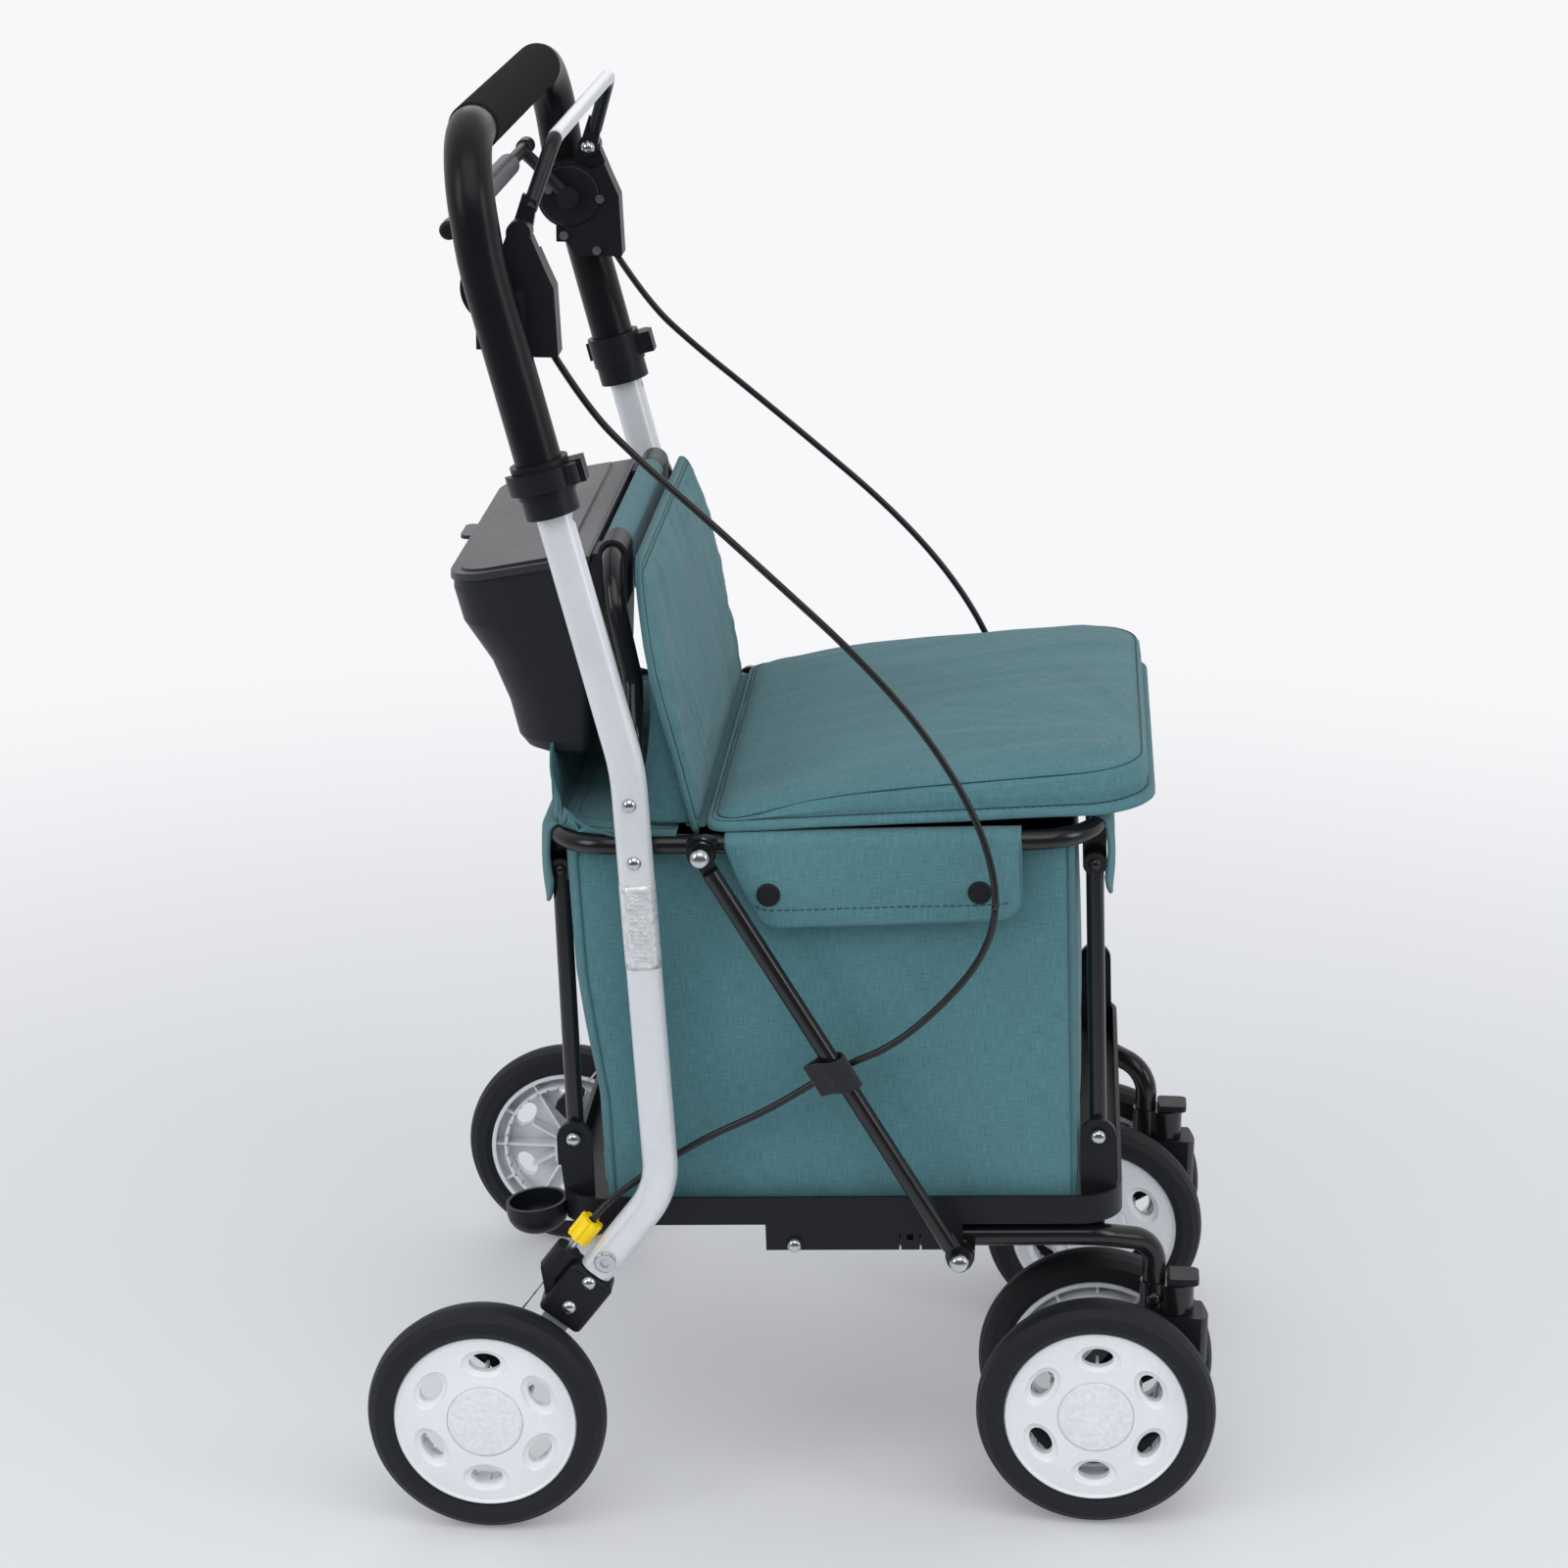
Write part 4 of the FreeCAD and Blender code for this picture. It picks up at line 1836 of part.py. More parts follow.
for node, shape in build().items():
    shape.exportStep("parts/" + node + ".step")
    print(node, len(shape.Solids), "solids", "valid" if shape.isValid() else "NOT VALID")
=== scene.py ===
# %% [markdown]
# # Shopping rollator
# A folding walking frame with a padded seat over a shopping bag. The metal and plastic parts are already
# modelled as solids, so this file adds what a solid modeller does badly: cloth, cables, seams, and the
# finish of every surface. We start by loading the solids as a fixed frame.

# %% Load the frame
from contextlib import contextmanager
from math import atan2, copysign, cos, exp, pi, radians, sin, sqrt, tan

import bmesh
import bpy
from mathutils import Matrix, Vector, noise


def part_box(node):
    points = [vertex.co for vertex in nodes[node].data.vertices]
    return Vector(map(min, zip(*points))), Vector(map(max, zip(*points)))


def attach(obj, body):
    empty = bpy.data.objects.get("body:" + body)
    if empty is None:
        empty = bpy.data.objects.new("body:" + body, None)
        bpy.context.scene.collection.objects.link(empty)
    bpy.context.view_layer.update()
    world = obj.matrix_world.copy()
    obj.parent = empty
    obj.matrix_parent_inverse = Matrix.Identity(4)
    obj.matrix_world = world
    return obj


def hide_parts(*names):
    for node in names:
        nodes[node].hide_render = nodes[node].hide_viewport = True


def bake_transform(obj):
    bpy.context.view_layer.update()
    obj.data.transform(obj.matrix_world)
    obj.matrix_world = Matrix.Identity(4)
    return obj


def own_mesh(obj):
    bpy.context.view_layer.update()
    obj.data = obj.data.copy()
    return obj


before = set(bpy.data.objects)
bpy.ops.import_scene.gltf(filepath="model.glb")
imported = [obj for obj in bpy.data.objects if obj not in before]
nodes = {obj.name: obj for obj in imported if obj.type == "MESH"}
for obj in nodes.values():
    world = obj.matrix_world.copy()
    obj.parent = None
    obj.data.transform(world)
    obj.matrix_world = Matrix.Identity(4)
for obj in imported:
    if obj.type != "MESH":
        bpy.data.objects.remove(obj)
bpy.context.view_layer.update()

# %% [markdown]
# ## Camera
# The wheels of the real object are circles, so their ellipses in the picture give the camera's place and
# its focal length. The numbers below are that solution, in metres and radians.

# %% Camera
camera_place = Vector((0.1558, -2.5714, 1.3026))
camera_yaw = 0.0695
camera_pitch = 0.3137
camera_roll = -0.0058
forward = Vector((-sin(camera_yaw) * cos(camera_pitch),
                  cos(camera_yaw) * cos(camera_pitch), -sin(camera_pitch)))
level_right = Vector((cos(camera_yaw), sin(camera_yaw), 0))
level_down = forward.cross(level_right)
right = level_right * cos(camera_roll) + level_down * sin(camera_roll)
down = level_down * cos(camera_roll) - level_right * sin(camera_roll)
camera_data = bpy.data.cameras.new("camera")
camera_data.sensor_width = 36.0
camera_data.lens = 87.43
camera = bpy.data.objects.new("camera", camera_data)
camera_turn = Matrix((right, -down, -forward)).transposed().to_4x4()
camera.matrix_world = Matrix.Translation(camera_place) @ camera_turn
bpy.context.scene.collection.objects.link(camera)
bpy.context.scene.camera = camera
bpy.context.scene.view_settings.view_transform = "Standard"
print("lens", camera_data.lens)

# %% [markdown]
# ## Brake cables
# Each cable is a smooth black casing, 5 mm thick. It leaves the brake housing, falls in a wide bow outside
# the bag, passes under the strap on the strut and runs back to the yellow nut at the wheel arm. A cable
# has no corners, so its line is a NURBS curve. It crosses three parts that fold against each other, so it
# is made in three lengths that share one curve.

# %% Route of a cable
rear_axle_x = -0.2085
cable_radius = 0.0024
bulge_height = 0.457
strap_height = 0.332
cable_route = ((47.7, 181, 811), (70.5, 184, 775.5), (102.4, 188, 745), (147, 194, 708), (196, 201, 666),
               (243, 207, 625), (283, 211, 583), (313, 215, 541), (333, 217, 500), (342, 217, 457),
               (333, 214, 420), (308, 210, 385), (273, 206, 350.5), (237.6, 203.6, 334.1), (190, 199, 299),
               (146, 196, 276), (106, 195.4, 248), (80.2, 208, 230.9), (70.7, 208, 218.0))

# %% Curve helpers
def smooth_line(name, points):
    """Points along a NURBS curve that has the given points as its control points."""
    data = bpy.data.curves.new(name, "CURVE")
    data.dimensions = "3D"
    spline = data.splines.new("NURBS")
    spline.points.add(len(points) - 1)
    for place, point in zip(spline.points, points):
        place.co = (*point, 1)
    spline.order_u = 3
    spline.use_endpoint_u = True
    spline.resolution_u = 12
    holder = bpy.data.objects.new(name, data)
    bpy.context.scene.collection.objects.link(holder)
    bpy.context.view_layer.update()
    mesh = bpy.data.meshes.new_from_object(holder)
    line = [v.co.copy() for v in mesh.vertices]
    bpy.data.objects.remove(holder)
    bpy.data.meshes.remove(mesh)
    return line

# %% Mesh helpers
def new_object(name, verts, faces, smooth=True):
    """A mesh object from plain lists."""
    mesh = bpy.data.meshes.new(name)
    mesh.from_pydata([tuple(v) for v in verts], [], faces)
    mesh.update()
    if smooth:
        mesh.polygons.foreach_set("use_smooth", [True] * len(mesh.polygons))
    piece = bpy.data.objects.new(name, mesh)
    bpy.context.scene.collection.objects.link(piece)
    return piece


def tube_mesh(line, radius, sides=12, closed=False):
    """Vertices and faces of a round tube along a line, turned as little as possible from ring to ring."""
    verts = []
    faces = []
    count = len(line)
    across = None
    for i, point in enumerate(line):
        before = line[i - 1] if i or closed else line[i]
        after = line[(i + 1) % count] if i < count - 1 or closed else line[i]
        along = (after - before).normalized()
        if across is None:
            across = along.orthogonal().normalized()
        across = (across - along * across.dot(along)).normalized()
        other = along.cross(across)
        for k in range(sides):
            a = 2 * pi * k / sides
            verts.append(point + (across * cos(a) + other * sin(a)) * radius)
    rings = count if closed else count - 1
    for i in range(rings):
        j = (i + 1) % count
        for k in range(sides):
            n = (k + 1) % sides
            faces.append((i * sides + k, i * sides + n, j * sides + n, j * sides + k))
    if not closed:
        faces.append(tuple(reversed(range(sides))))
        faces.append(tuple(range((count - 1) * sides, count * sides)))
    return verts, faces


def line_length(line):
    return sum((b - a).length for a, b in zip(line, line[1:]))


# %% Cables
cable_pieces = []
for side, hand in ((-1, "right"), (1, "left")):
    route = [Vector((rear_axle_x + x / 1000, side * y / 1000, z / 1000)) for x, y, z in cable_route]
    line = smooth_line("cable_line_" + hand, route)
    bulge = min(range(len(line)), key=lambda i: abs(line[i].z - bulge_height) if line[i].x > 0.1 else 9)
    strap = min(range(len(line)), key=lambda i: abs(line[i].z - strap_height))
    spans = (("upper", 0, bulge, "handle", "frame"), ("middle", bulge, strap, "frame", "struts"),
             ("lower", strap, len(line) - 1, "struts", "frame"))
    for part, start, end, body_a, body_b in spans:
        piece_line = line[start:end + 1]
        verts, faces = tube_mesh(piece_line, cable_radius, 16)
        piece = new_object("cable_%s_%s" % (part, hand), verts, faces)
        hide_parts("brake_cable_" + hand)
        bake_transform(piece)
        cable_pieces.append(piece)
    print("cable", hand, "length", round(line_length(line), 4))

# %% [markdown]
# ## Studio
# The real picture has a seamless white background and large soft lights. A big floor fades into the world
# colour with distance, so there is no horizon. The world shows white to the camera, a ramp from dark to
# light to reflections, and lights the object at a lower level. Softboxes stand above, at both sides and
# behind.

# %% Node helpers
class Wiring:
    """Adds nodes to one shader tree."""

    def __init__(self, tree):
        self.tree = tree

    def feed(self, node, inputs):
        """Gives inputs of a node a value, or a link from another node or socket."""
        for key, value in inputs.items():
            if isinstance(value, bpy.types.Node):
                value = value.outputs[0]
            if isinstance(value, bpy.types.NodeSocket):
                self.tree.links.new(value, node.inputs[key])
            else:
                node.inputs[key].default_value = value

    def node(self, kind, inputs=None, **properties):
        """Adds a node, sets its properties and feeds its inputs."""
        node = self.tree.nodes.new(kind)
        for key, value in properties.items():
            setattr(node, key, value)
        self.feed(node, inputs or {})
        return node

    def maths(self, operation, *values, clamp=False):
        """A Math node fed by sockets or numbers; returns its output."""
        node = self.node("ShaderNodeMath", dict(enumerate(values)), operation=operation, use_clamp=clamp)
        return node.outputs[0]

    def noise_at(self, vector, scale, detail=2.0, roughness=0.5):
        """Noise read at a vector that is first multiplied by (x, y, z)."""
        stretch = self.node("ShaderNodeVectorMath", {0: vector, 1: scale}, operation="MULTIPLY")
        texture = self.node("ShaderNodeTexNoise", {"Scale": 1.0, "Detail": detail, "Roughness": roughness,
                                                   "Vector": stretch})
        return texture.outputs["Fac"]

    def bump(self, height, strength, distance):
        """A normal from a height."""
        return self.node("ShaderNodeBump", {"Strength": strength, "Distance": distance, "Height": height})


def empty_wiring(owner):
    """Empties the node tree of a world or a material."""
    owner.use_nodes = True
    owner.node_tree.nodes.clear()
    return Wiring(owner.node_tree)


# %% World and lights
world = bpy.data.worlds.new("studio")
bpy.context.scene.world = world
sky = empty_wiring(world)
ambient = sky.node("ShaderNodeBackground", {"Color": (0.95, 0.975, 1.0, 1), "Strength": 0.74})
backdrop = sky.node("ShaderNodeBackground", {"Color": (0.935, 0.938, 0.955, 1), "Strength": 1.0})
direction = sky.node("ShaderNodeTexCoord")
split = sky.node("ShaderNodeSeparateXYZ", {0: direction.outputs["Generated"]})
front_to_back = sky.node(
    "ShaderNodeMapRange",
    {"From Min": -0.75, "From Max": 0.5, "To Min": 0.07, "To Max": 0.8, "Value": split.outputs["Y"]},
    interpolation_type="SMOOTHSTEP")
reflected = sky.node("ShaderNodeBackground", {"Color": front_to_back, "Strength": 1.0})
rays = sky.node("ShaderNodeLightPath")
glossy_or_clear = sky.maths("MAXIMUM", rays.outputs["Is Glossy Ray"], rays.outputs["Is Transmission Ray"])
mirror_mix = sky.node("ShaderNodeMixShader", {0: glossy_or_clear, 1: ambient, 2: reflected})
camera_mix = sky.node("ShaderNodeMixShader", {0: rays.outputs["Is Camera Ray"], 1: mirror_mix, 2: backdrop})
sky.node("ShaderNodeOutputWorld", {0: camera_mix})


def softbox(name, place, aim, size, power):
    """A rectangular area light that looks at a point."""
    data = bpy.data.lights.new(name, "AREA")
    data.shape = "RECTANGLE"
    data.size, data.size_y = size
    data.energy = power
    data.color = (1.0, 0.99, 0.975)
    lamp = bpy.data.objects.new(name, data)
    lamp.location = place
    lamp.rotation_euler = (Vector(aim) - Vector(place)).to_track_quat("-Z", "Y").to_euler()
    bpy.context.scene.collection.objects.link(lamp)


softbox("light_above", (0.2, -1.9, 2.7), (0, 0, 0.35), (2.8, 2.2), 29)
softbox("light_left", (-2.3, -1.9, 1.7), (0, 0, 0.5), (1.0, 1.8), 18)
softbox("light_right", (2.5, -1.3, 1.5), (0, 0, 0.5), (0.8, 1.6), 13)
softbox("light_behind", (0.0, 2.6, 1.9), (0, 0, 0.5), (2.0, 1.2), 6)

# %% Floor
floor_half = 6
floor_corners = [(x * floor_half, y * floor_half, 0) for x, y in ((-1, -1), (1, -1), (1, 1), (-1, 1))]
floor = new_object("studio_floor", floor_corners, [(0, 1, 2, 3)], False)
floor.location.z = -0.0004
floor_paint = bpy.data.materials.new("studio floor")
floor_wires = empty_wiring(floor_paint)
paper = floor_wires.node("ShaderNodeBsdfPrincipled", {
    "Base Color": (0.575, 0.583, 0.61, 1), "Emission Color": (0.92, 0.93, 0.965, 1), "Emission Strength": 0.17,
    "Roughness": 0.55, "Specular IOR Level": 0.25})
clear = floor_wires.node("ShaderNodeBsdfTransparent")
where = floor_wires.node("ShaderNodeTexCoord")
far = floor_wires.node("ShaderNodeVectorMath", {0: where.outputs["Object"]}, operation="LENGTH")
fade = floor_wires.node("ShaderNodeMapRange", {"From Min": 0.6, "From Max": 2.1, "Value": far.outputs["Value"]},
                        interpolation_type="SMOOTHSTEP")
floor_mix = floor_wires.node("ShaderNodeMixShader", {0: fade, 1: paper, 2: clear})
floor_wires.node("ShaderNodeOutputMaterial", {0: floor_mix})
floor.data.materials.append(floor_paint)
print("floor", 2 * floor_half, "m wide")

# %% [markdown]
# ## Shared effects
# Several finishes use the same effects, so each effect is a node group with its own inputs: a canvas weave,
# the fine grain of moulded plastic, and soft smudges. The groups give colours, roughness and heights only,
# and the shader stays in each material.

# %% Group maker
def new_group(name, inputs, outputs):
    """A shader node group with float or colour sockets; returns its wiring, input node and output node."""
    tree = bpy.data.node_groups.new(name, "ShaderNodeTree")
    kinds = {"f": "NodeSocketFloat", "c": "NodeSocketColor"}
    for label, kind, value in inputs:
        socket = tree.interface.new_socket(name=label, in_out="INPUT", socket_type=kinds[kind])
        socket.default_value = value
    for label, kind in outputs:
        tree.interface.new_socket(name=label, in_out="OUTPUT", socket_type=kinds[kind])
    return Wiring(tree), tree.nodes.new("NodeGroupInput"), tree.nodes.new("NodeGroupOutput")


# %% Canvas weave
# The threads run along the two axes that lie most nearly in the surface, so no unwrapping is needed.
weave, weave_in, weave_out = new_group(
    "canvas weave",
    (("Dark", "c", (0, 0, 0, 1)), ("Light", "c", (1, 1, 1, 1)), ("Thread", "f", 0.0009), ("Slub", "f", 1.0)),
    (("Color", "c"), ("Height", "f"), ("Roughness", "f")))
where = weave.node("ShaderNodeTexCoord")
flat = weave.node("ShaderNodeSeparateXYZ", {0: where.outputs["Object"]})
facing = weave.node("ShaderNodeSeparateXYZ", {0: where.outputs["Normal"]})
size_x, size_y, size_z = [weave.maths("ABSOLUTE", facing.outputs[axis]) for axis in "XYZ"]


def largest(size, *others):
    """1 where one size is larger than the two others."""
    return weave.maths("MULTIPLY", *[weave.maths("GREATER_THAN", size, other) for other in others])


def swapped(axis, other, mask):
    """One coordinate, with another one in its place where the mask is 1."""
    difference = weave.maths("SUBTRACT", flat.outputs[other], flat.outputs[axis])
    return weave.maths("ADD", flat.outputs[axis], weave.maths("MULTIPLY", difference, mask))


faces_x = largest(size_x, size_y, size_z)
faces_z = largest(size_z, size_x, size_y)
along_u = swapped("X", "Y", faces_x)
along_v = swapped("Z", "Y", faces_z)
cloth_place = weave.node("ShaderNodeCombineXYZ", {"X": along_u, "Y": along_v, "Z": faces_x})
pitch = weave.maths("DIVIDE", pi, weave_in.outputs["Thread"])
wave_u, wave_v = [weave.maths("SINE", weave.maths("MULTIPLY", along, pitch)) for along in (along_u, along_v)]
over = weave.maths("GREATER_THAN", weave.maths("MULTIPLY", wave_u, wave_v), 0.0)
bump_u = weave.maths("ABSOLUTE", wave_u)
bump_v = weave.maths("ABSOLUTE", wave_v)
warp = weave.maths("MULTIPLY", bump_u, weave.maths("MULTIPLY_ADD", bump_v, 0.5, 0.5))
weft = weave.maths("MULTIPLY", bump_v, weave.maths("MULTIPLY_ADD", bump_u, 0.5, 0.5))
threads = weave.node("ShaderNodeMix", {0: over, 2: weft, 3: warp}, data_type="FLOAT").outputs[0]
slub_u = weave.noise_at(cloth_place, (90, 1900, 7), 1.5)
slub_v = weave.noise_at(cloth_place, (1900, 80, 13), 1.5)
cloud = weave.noise_at(where.outputs["Object"], (9, 9, 9), 3.0)
slubs = weave.maths("ADD", weave.maths("SUBTRACT", slub_u, 0.5), weave.maths("SUBTRACT", slub_v, 0.5))
slubs = weave.maths("MULTIPLY", slubs, weave_in.outputs["Slub"])
yarn_tone_and_gap_shade = weave.maths("ADD", slubs, weave.maths("MULTIPLY_ADD", cloud, 0.5, 0.25))
# Painted shade: the colour is lighter on the crowns of the threads and darker in the gaps between them,
# following the thread height; slubs and clouds are the yarn's own tone.
yarn_tone_and_gap_shade = weave.maths("MULTIPLY_ADD", threads, 0.28, weave.maths("SUBTRACT", yarn_tone_and_gap_shade, 0.12), clamp=True)
tint = weave.node("ShaderNodeMix", {0: yarn_tone_and_gap_shade, 6: weave_in.outputs["Dark"], 7: weave_in.outputs["Light"]},
                  data_type="RGBA")
weave.feed(weave_out, {"Color": tint.outputs[2], "Height": threads,
                       "Roughness": weave.maths("MULTIPLY_ADD", cloud, 0.12, 0.78)})
print("weave nodes", len(weave.tree.nodes))

# %% Plastic grain and smudges
grain, grain_in, grain_out = new_group(
    "moulded grain",
    (("Base", "c", (0.03, 0.03, 0.03, 1)), ("Roughness", "f", 0.5), ("Spread", "f", 0.1),
     ("Grain", "f", 900.0)),
    (("Color", "c"), ("Height", "f"), ("Roughness", "f")))
where = grain.node("ShaderNodeTexCoord").outputs["Object"]
pebble = grain.node("ShaderNodeTexVoronoi", {"Vector": where, "Scale": grain_in.outputs["Grain"]},
                    feature="SMOOTH_F1")
smudge = grain.noise_at(where, (14, 14, 14), 4.0, 0.6)
dust = grain.noise_at(where, (160, 160, 160), 3.0, 0.65)
spread = grain_in.outputs["Spread"]
rough = grain.maths("MULTIPLY_ADD", grain.maths("SUBTRACT", smudge, 0.5), spread, grain_in.outputs["Roughness"])
rough = grain.maths("MULTIPLY_ADD", grain.maths("SUBTRACT", dust, 0.5), grain.maths("MULTIPLY", spread, 0.5),
                    rough, clamp=True)
lighten = grain.maths("MULTIPLY_ADD", smudge, 0.22, grain.maths("MULTIPLY_ADD", dust, 0.1, 0.84))
grain_tint = grain.node("ShaderNodeVectorMath", {0: grain_in.outputs["Base"], "Scale": lighten},
                        operation="SCALE")
grain.feed(grain_out, {"Color": grain_tint, "Height": pebble.outputs["Distance"], "Roughness": rough})
print("groups", [g.name for g in bpy.data.node_groups])

# %% [markdown]
# ## Finishes
# Each finish is one Principled shader fed by an effect. Constant values, such as specular level, sheen and
# coat, are set on the shader itself.

# %% Finish makers
def new_finish(name):
    """A material with only a Principled shader and an output; returns material, wiring and shader."""
    finish = bpy.data.materials.new(name)
    wires = empty_wiring(finish)
    shader = wires.node("ShaderNodeBsdfPrincipled")
    wires.node("ShaderNodeOutputMaterial", {0: shader})
    return finish, wires, shader


def canvas_finish(name, dark, light, thread=0.0009, slub=1.0, relief=0.35):
    """Woven cloth: two tints of yarn mixed by slubs, random tone and painted shade between the threads, thread
    relief and a soft sheen.
    """
    finish, wires, shader = new_finish(name)
    cloth = wires.node("ShaderNodeGroup", {"Dark": (*dark, 1), "Light": (*light, 1), "Thread": thread,
                                           "Slub": slub}, node_tree=weave.tree)
    wires.feed(shader, {"Base Color": cloth.outputs["Color"], "Roughness": cloth.outputs["Roughness"],
                        "Normal": wires.bump(cloth.outputs["Height"], relief, 0.0002),
                        "Specular IOR Level": 0.18, "Sheen Weight": 0.12, "Sheen Roughness": 0.5})
    return finish


def moulded_finish(name, color, roughness, spread, grain_size, relief, specular, metallic=0.0):
    """Plastic, rubber, paint or plated metal with grain and smudges."""
    finish, wires, shader = new_finish(name)
    grained = wires.node("ShaderNodeGroup", {"Base": (*color, 1), "Roughness": roughness, "Spread": spread,
                                             "Grain": grain_size}, node_tree=grain.tree)
    wires.feed(shader, {"Base Color": grained.outputs["Color"], "Roughness": grained.outputs["Roughness"],
                        "Normal": wires.bump(grained.outputs["Height"], relief, 0.00012),
                        "Specular IOR Level": specular, "Metallic": metallic})
    return finish


def banded_finish(name, middle, ends, edge, metallic, roughness):
    """Paint with one colour up to a distance from the middle plane and another colour beyond it."""
    finish, wires, shader = new_finish(name)
    where = wires.node("ShaderNodeTexCoord")
    place = wires.node("ShaderNodeSeparateXYZ", {0: where.outputs["Object"]})
    at_end = wires.maths("GREATER_THAN", wires.maths("ABSOLUTE", place.outputs["Y"]), edge)
    tint = wires.node("ShaderNodeMix", {0: at_end, 6: (*middle, 1), 7: (*ends, 1)}, data_type="RGBA")
    wires.feed(shader, {"Base Color": tint.outputs[2], "Roughness": roughness, "Specular IOR Level": 0.3,
                        "Metallic": wires.maths("MULTIPLY_ADD", at_end, -metallic, metallic)})
    return finish


# %% Finishes of this object
teal_canvas = canvas_finish("teal canvas", (0.040, 0.115, 0.132), (0.102, 0.238, 0.270))
teal_binding = canvas_finish("teal binding tape", (0.034, 0.10, 0.112), (0.07, 0.175, 0.195), 0.0006, 0.5)
seam_thread = canvas_finish("seam thread", (0.012, 0.045, 0.052), (0.03, 0.08, 0.09), 0.0005, 0.3)
black_webbing = canvas_finish("black webbing", (0.008, 0.008, 0.01), (0.03, 0.031, 0.036), 0.0012, 0.4)
silver_paint = moulded_finish("silver satin paint", (0.70, 0.723, 0.765), 0.34, 0.08, 2400.0, 0.05, 0.5, 0.3)
handle_paint = moulded_finish("black satin paint", (0.0055, 0.006, 0.008), 0.33, 0.08, 2600.0, 0.04, 0.24)
gloss_paint = moulded_finish("black gloss paint", (0.008, 0.008, 0.010), 0.2, 0.1, 2600.0, 0.03, 0.5)
black_moulding = moulded_finish("black moulded plastic", (0.0085, 0.0095, 0.0125), 0.42, 0.12, 1500.0, 0.25,
                                0.25)
box_moulding = moulded_finish("box moulded plastic", (0.0145, 0.016, 0.022), 0.44, 0.12, 1800.0, 0.4, 0.32)
lid_moulding = moulded_finish("box lid plastic", (0.027, 0.030, 0.039), 0.38, 0.12, 2200.0, 0.4, 0.42)
foam_skin = moulded_finish("foam grip skin", (0.012, 0.011, 0.0125), 0.92, 0.05, 1300.0, 0.9, 0.08)
cable_skin = moulded_finish("cable casing", (0.008, 0.008, 0.010), 0.3, 0.1, 1200.0, 0.05, 0.5)
plated_steel = moulded_finish("zinc plated steel", (0.62, 0.64, 0.67), 0.24, 0.15, 2000.0, 0.04, 0.5, 1.0)
white_moulding = moulded_finish("white wheel plastic", (0.74, 0.755, 0.79), 0.32, 0.1, 1200.0, 0.08, 0.5)
tyre_rubber = moulded_finish("tyre rubber", (0.011, 0.012, 0.0155), 0.58, 0.1, 1500.0, 0.35, 0.28)
yellow_moulding = moulded_finish("yellow nut plastic", (0.93, 0.66, 0.004), 0.36, 0.1, 1500.0, 0.1, 0.5)
print("materials", len(bpy.data.materials))

# %% Two-coloured paints
# Hand brake: the cross bar is bright and its arms are black. Parking brake: a grey grip on a black rod.
black_end = (0.009, 0.010, 0.013)
bail_paint = banded_finish("brake bail paint", (0.60, 0.62, 0.66), black_end, 0.1485, 0.75, 0.3)
parking_paint = banded_finish("parking bar paint", (0.075, 0.08, 0.095), black_end, 0.0905, 0.0, 0.42)

# %% [markdown]
# ## Reflector
# Each hub carries a round reflector of clear plastic with rows of small prisms moulded into its back. A grid
# of square cells gives the prisms their relief, and noise paints some of them lighter as painted glints.

# %% Reflector finish
reflector_clear, wires, shader = new_finish("prism reflector")
where = wires.node("ShaderNodeTexCoord").outputs["Object"]
prisms = wires.node("ShaderNodeTexVoronoi", {"Vector": where, "Scale": 420.0, "Randomness": 0.0}, feature="F1",
                    distance="CHEBYCHEV")
sparkle = wires.noise_at(where, (300, 300, 300), 1.0)
# Painted glints: where the noise is high the colour is lighter, standing in for prisms that catch the light;
# the noise also varies the roughness.
painted_glint = wires.maths("MULTIPLY_ADD", wires.maths("SUBTRACT", sparkle, 0.5), 1.2, 0.5, clamp=True)
ground = wires.node("ShaderNodeMix", {0: painted_glint, 6: (0.62, 0.64, 0.69, 1), 7: (0.80, 0.82, 0.88, 1)},
                    data_type="RGBA")
wires.feed(shader, {"Base Color": ground.outputs[2],
                    "Roughness": wires.maths("MULTIPLY_ADD", sparkle, 0.2, 0.1),
                    "Normal": wires.bump(prisms.outputs["Distance"], 0.55, 0.0006),
                    "Coat Weight": 0.6, "Coat Roughness": 0.05})

# %% Put finishes on the solids
starts_of = {
    silver_paint: ("leg_right", "leg_left", "axle_arms"),
    gloss_paint: ("seat_ring", "backrest_frame", "rear_posts", "front_posts", "struts", "lower_frame"),
    black_moulding: ("brake_lever_", "collar_lever_", "caster_fork_", "lock_lever_", "axle_brackets",
                     "brake_housings", "height_collars", "tray", "umbrella_cup", "press_studs"),
    plated_steel: ("leg_rivets", "brake_wires", "housing_screws"), handle_paint: ("handle_tube",),
    bail_paint: ("brake_bail",), parking_paint: ("parking_bar",), black_webbing: ("cable_straps",),
    box_moulding: ("storage_box",), lid_moulding: ("box_lid",), yellow_moulding: ("adjuster_nut_",),
    tyre_rubber: ("tyre_",), white_moulding: ("hub_",), reflector_clear: ("reflector_",)}
finished = 0
for finish, starts in starts_of.items():
    for name, node in nodes.items():
        if name.startswith(starts):
            node.data.materials.clear()
            node.data.materials.append(finish)
            finished += 1
for piece in cable_pieces:
    piece.data.materials.append(cable_skin)
print("finished nodes", finished, "of", len(nodes))

# %% [markdown]
# ## Cloth helpers
# The seat, the ring and the bag slope down 2.4 degrees to the rear, so cloth is drawn in a level frame in
# millimetres and then leaned. `sheet_grid` makes a surface from a function of two numbers from 0 to 1.

# %% Ring
# The ring's height, tube radius, rear end, corner radius and half width between the corners.
ring_z = 480.5
ring_r = 6.75
ring_back = 40.5
ring_corner = 45.0
ring_straight = 145.0
slope = radians(2.4)
slope_pivot = (ring_back, ring_z)

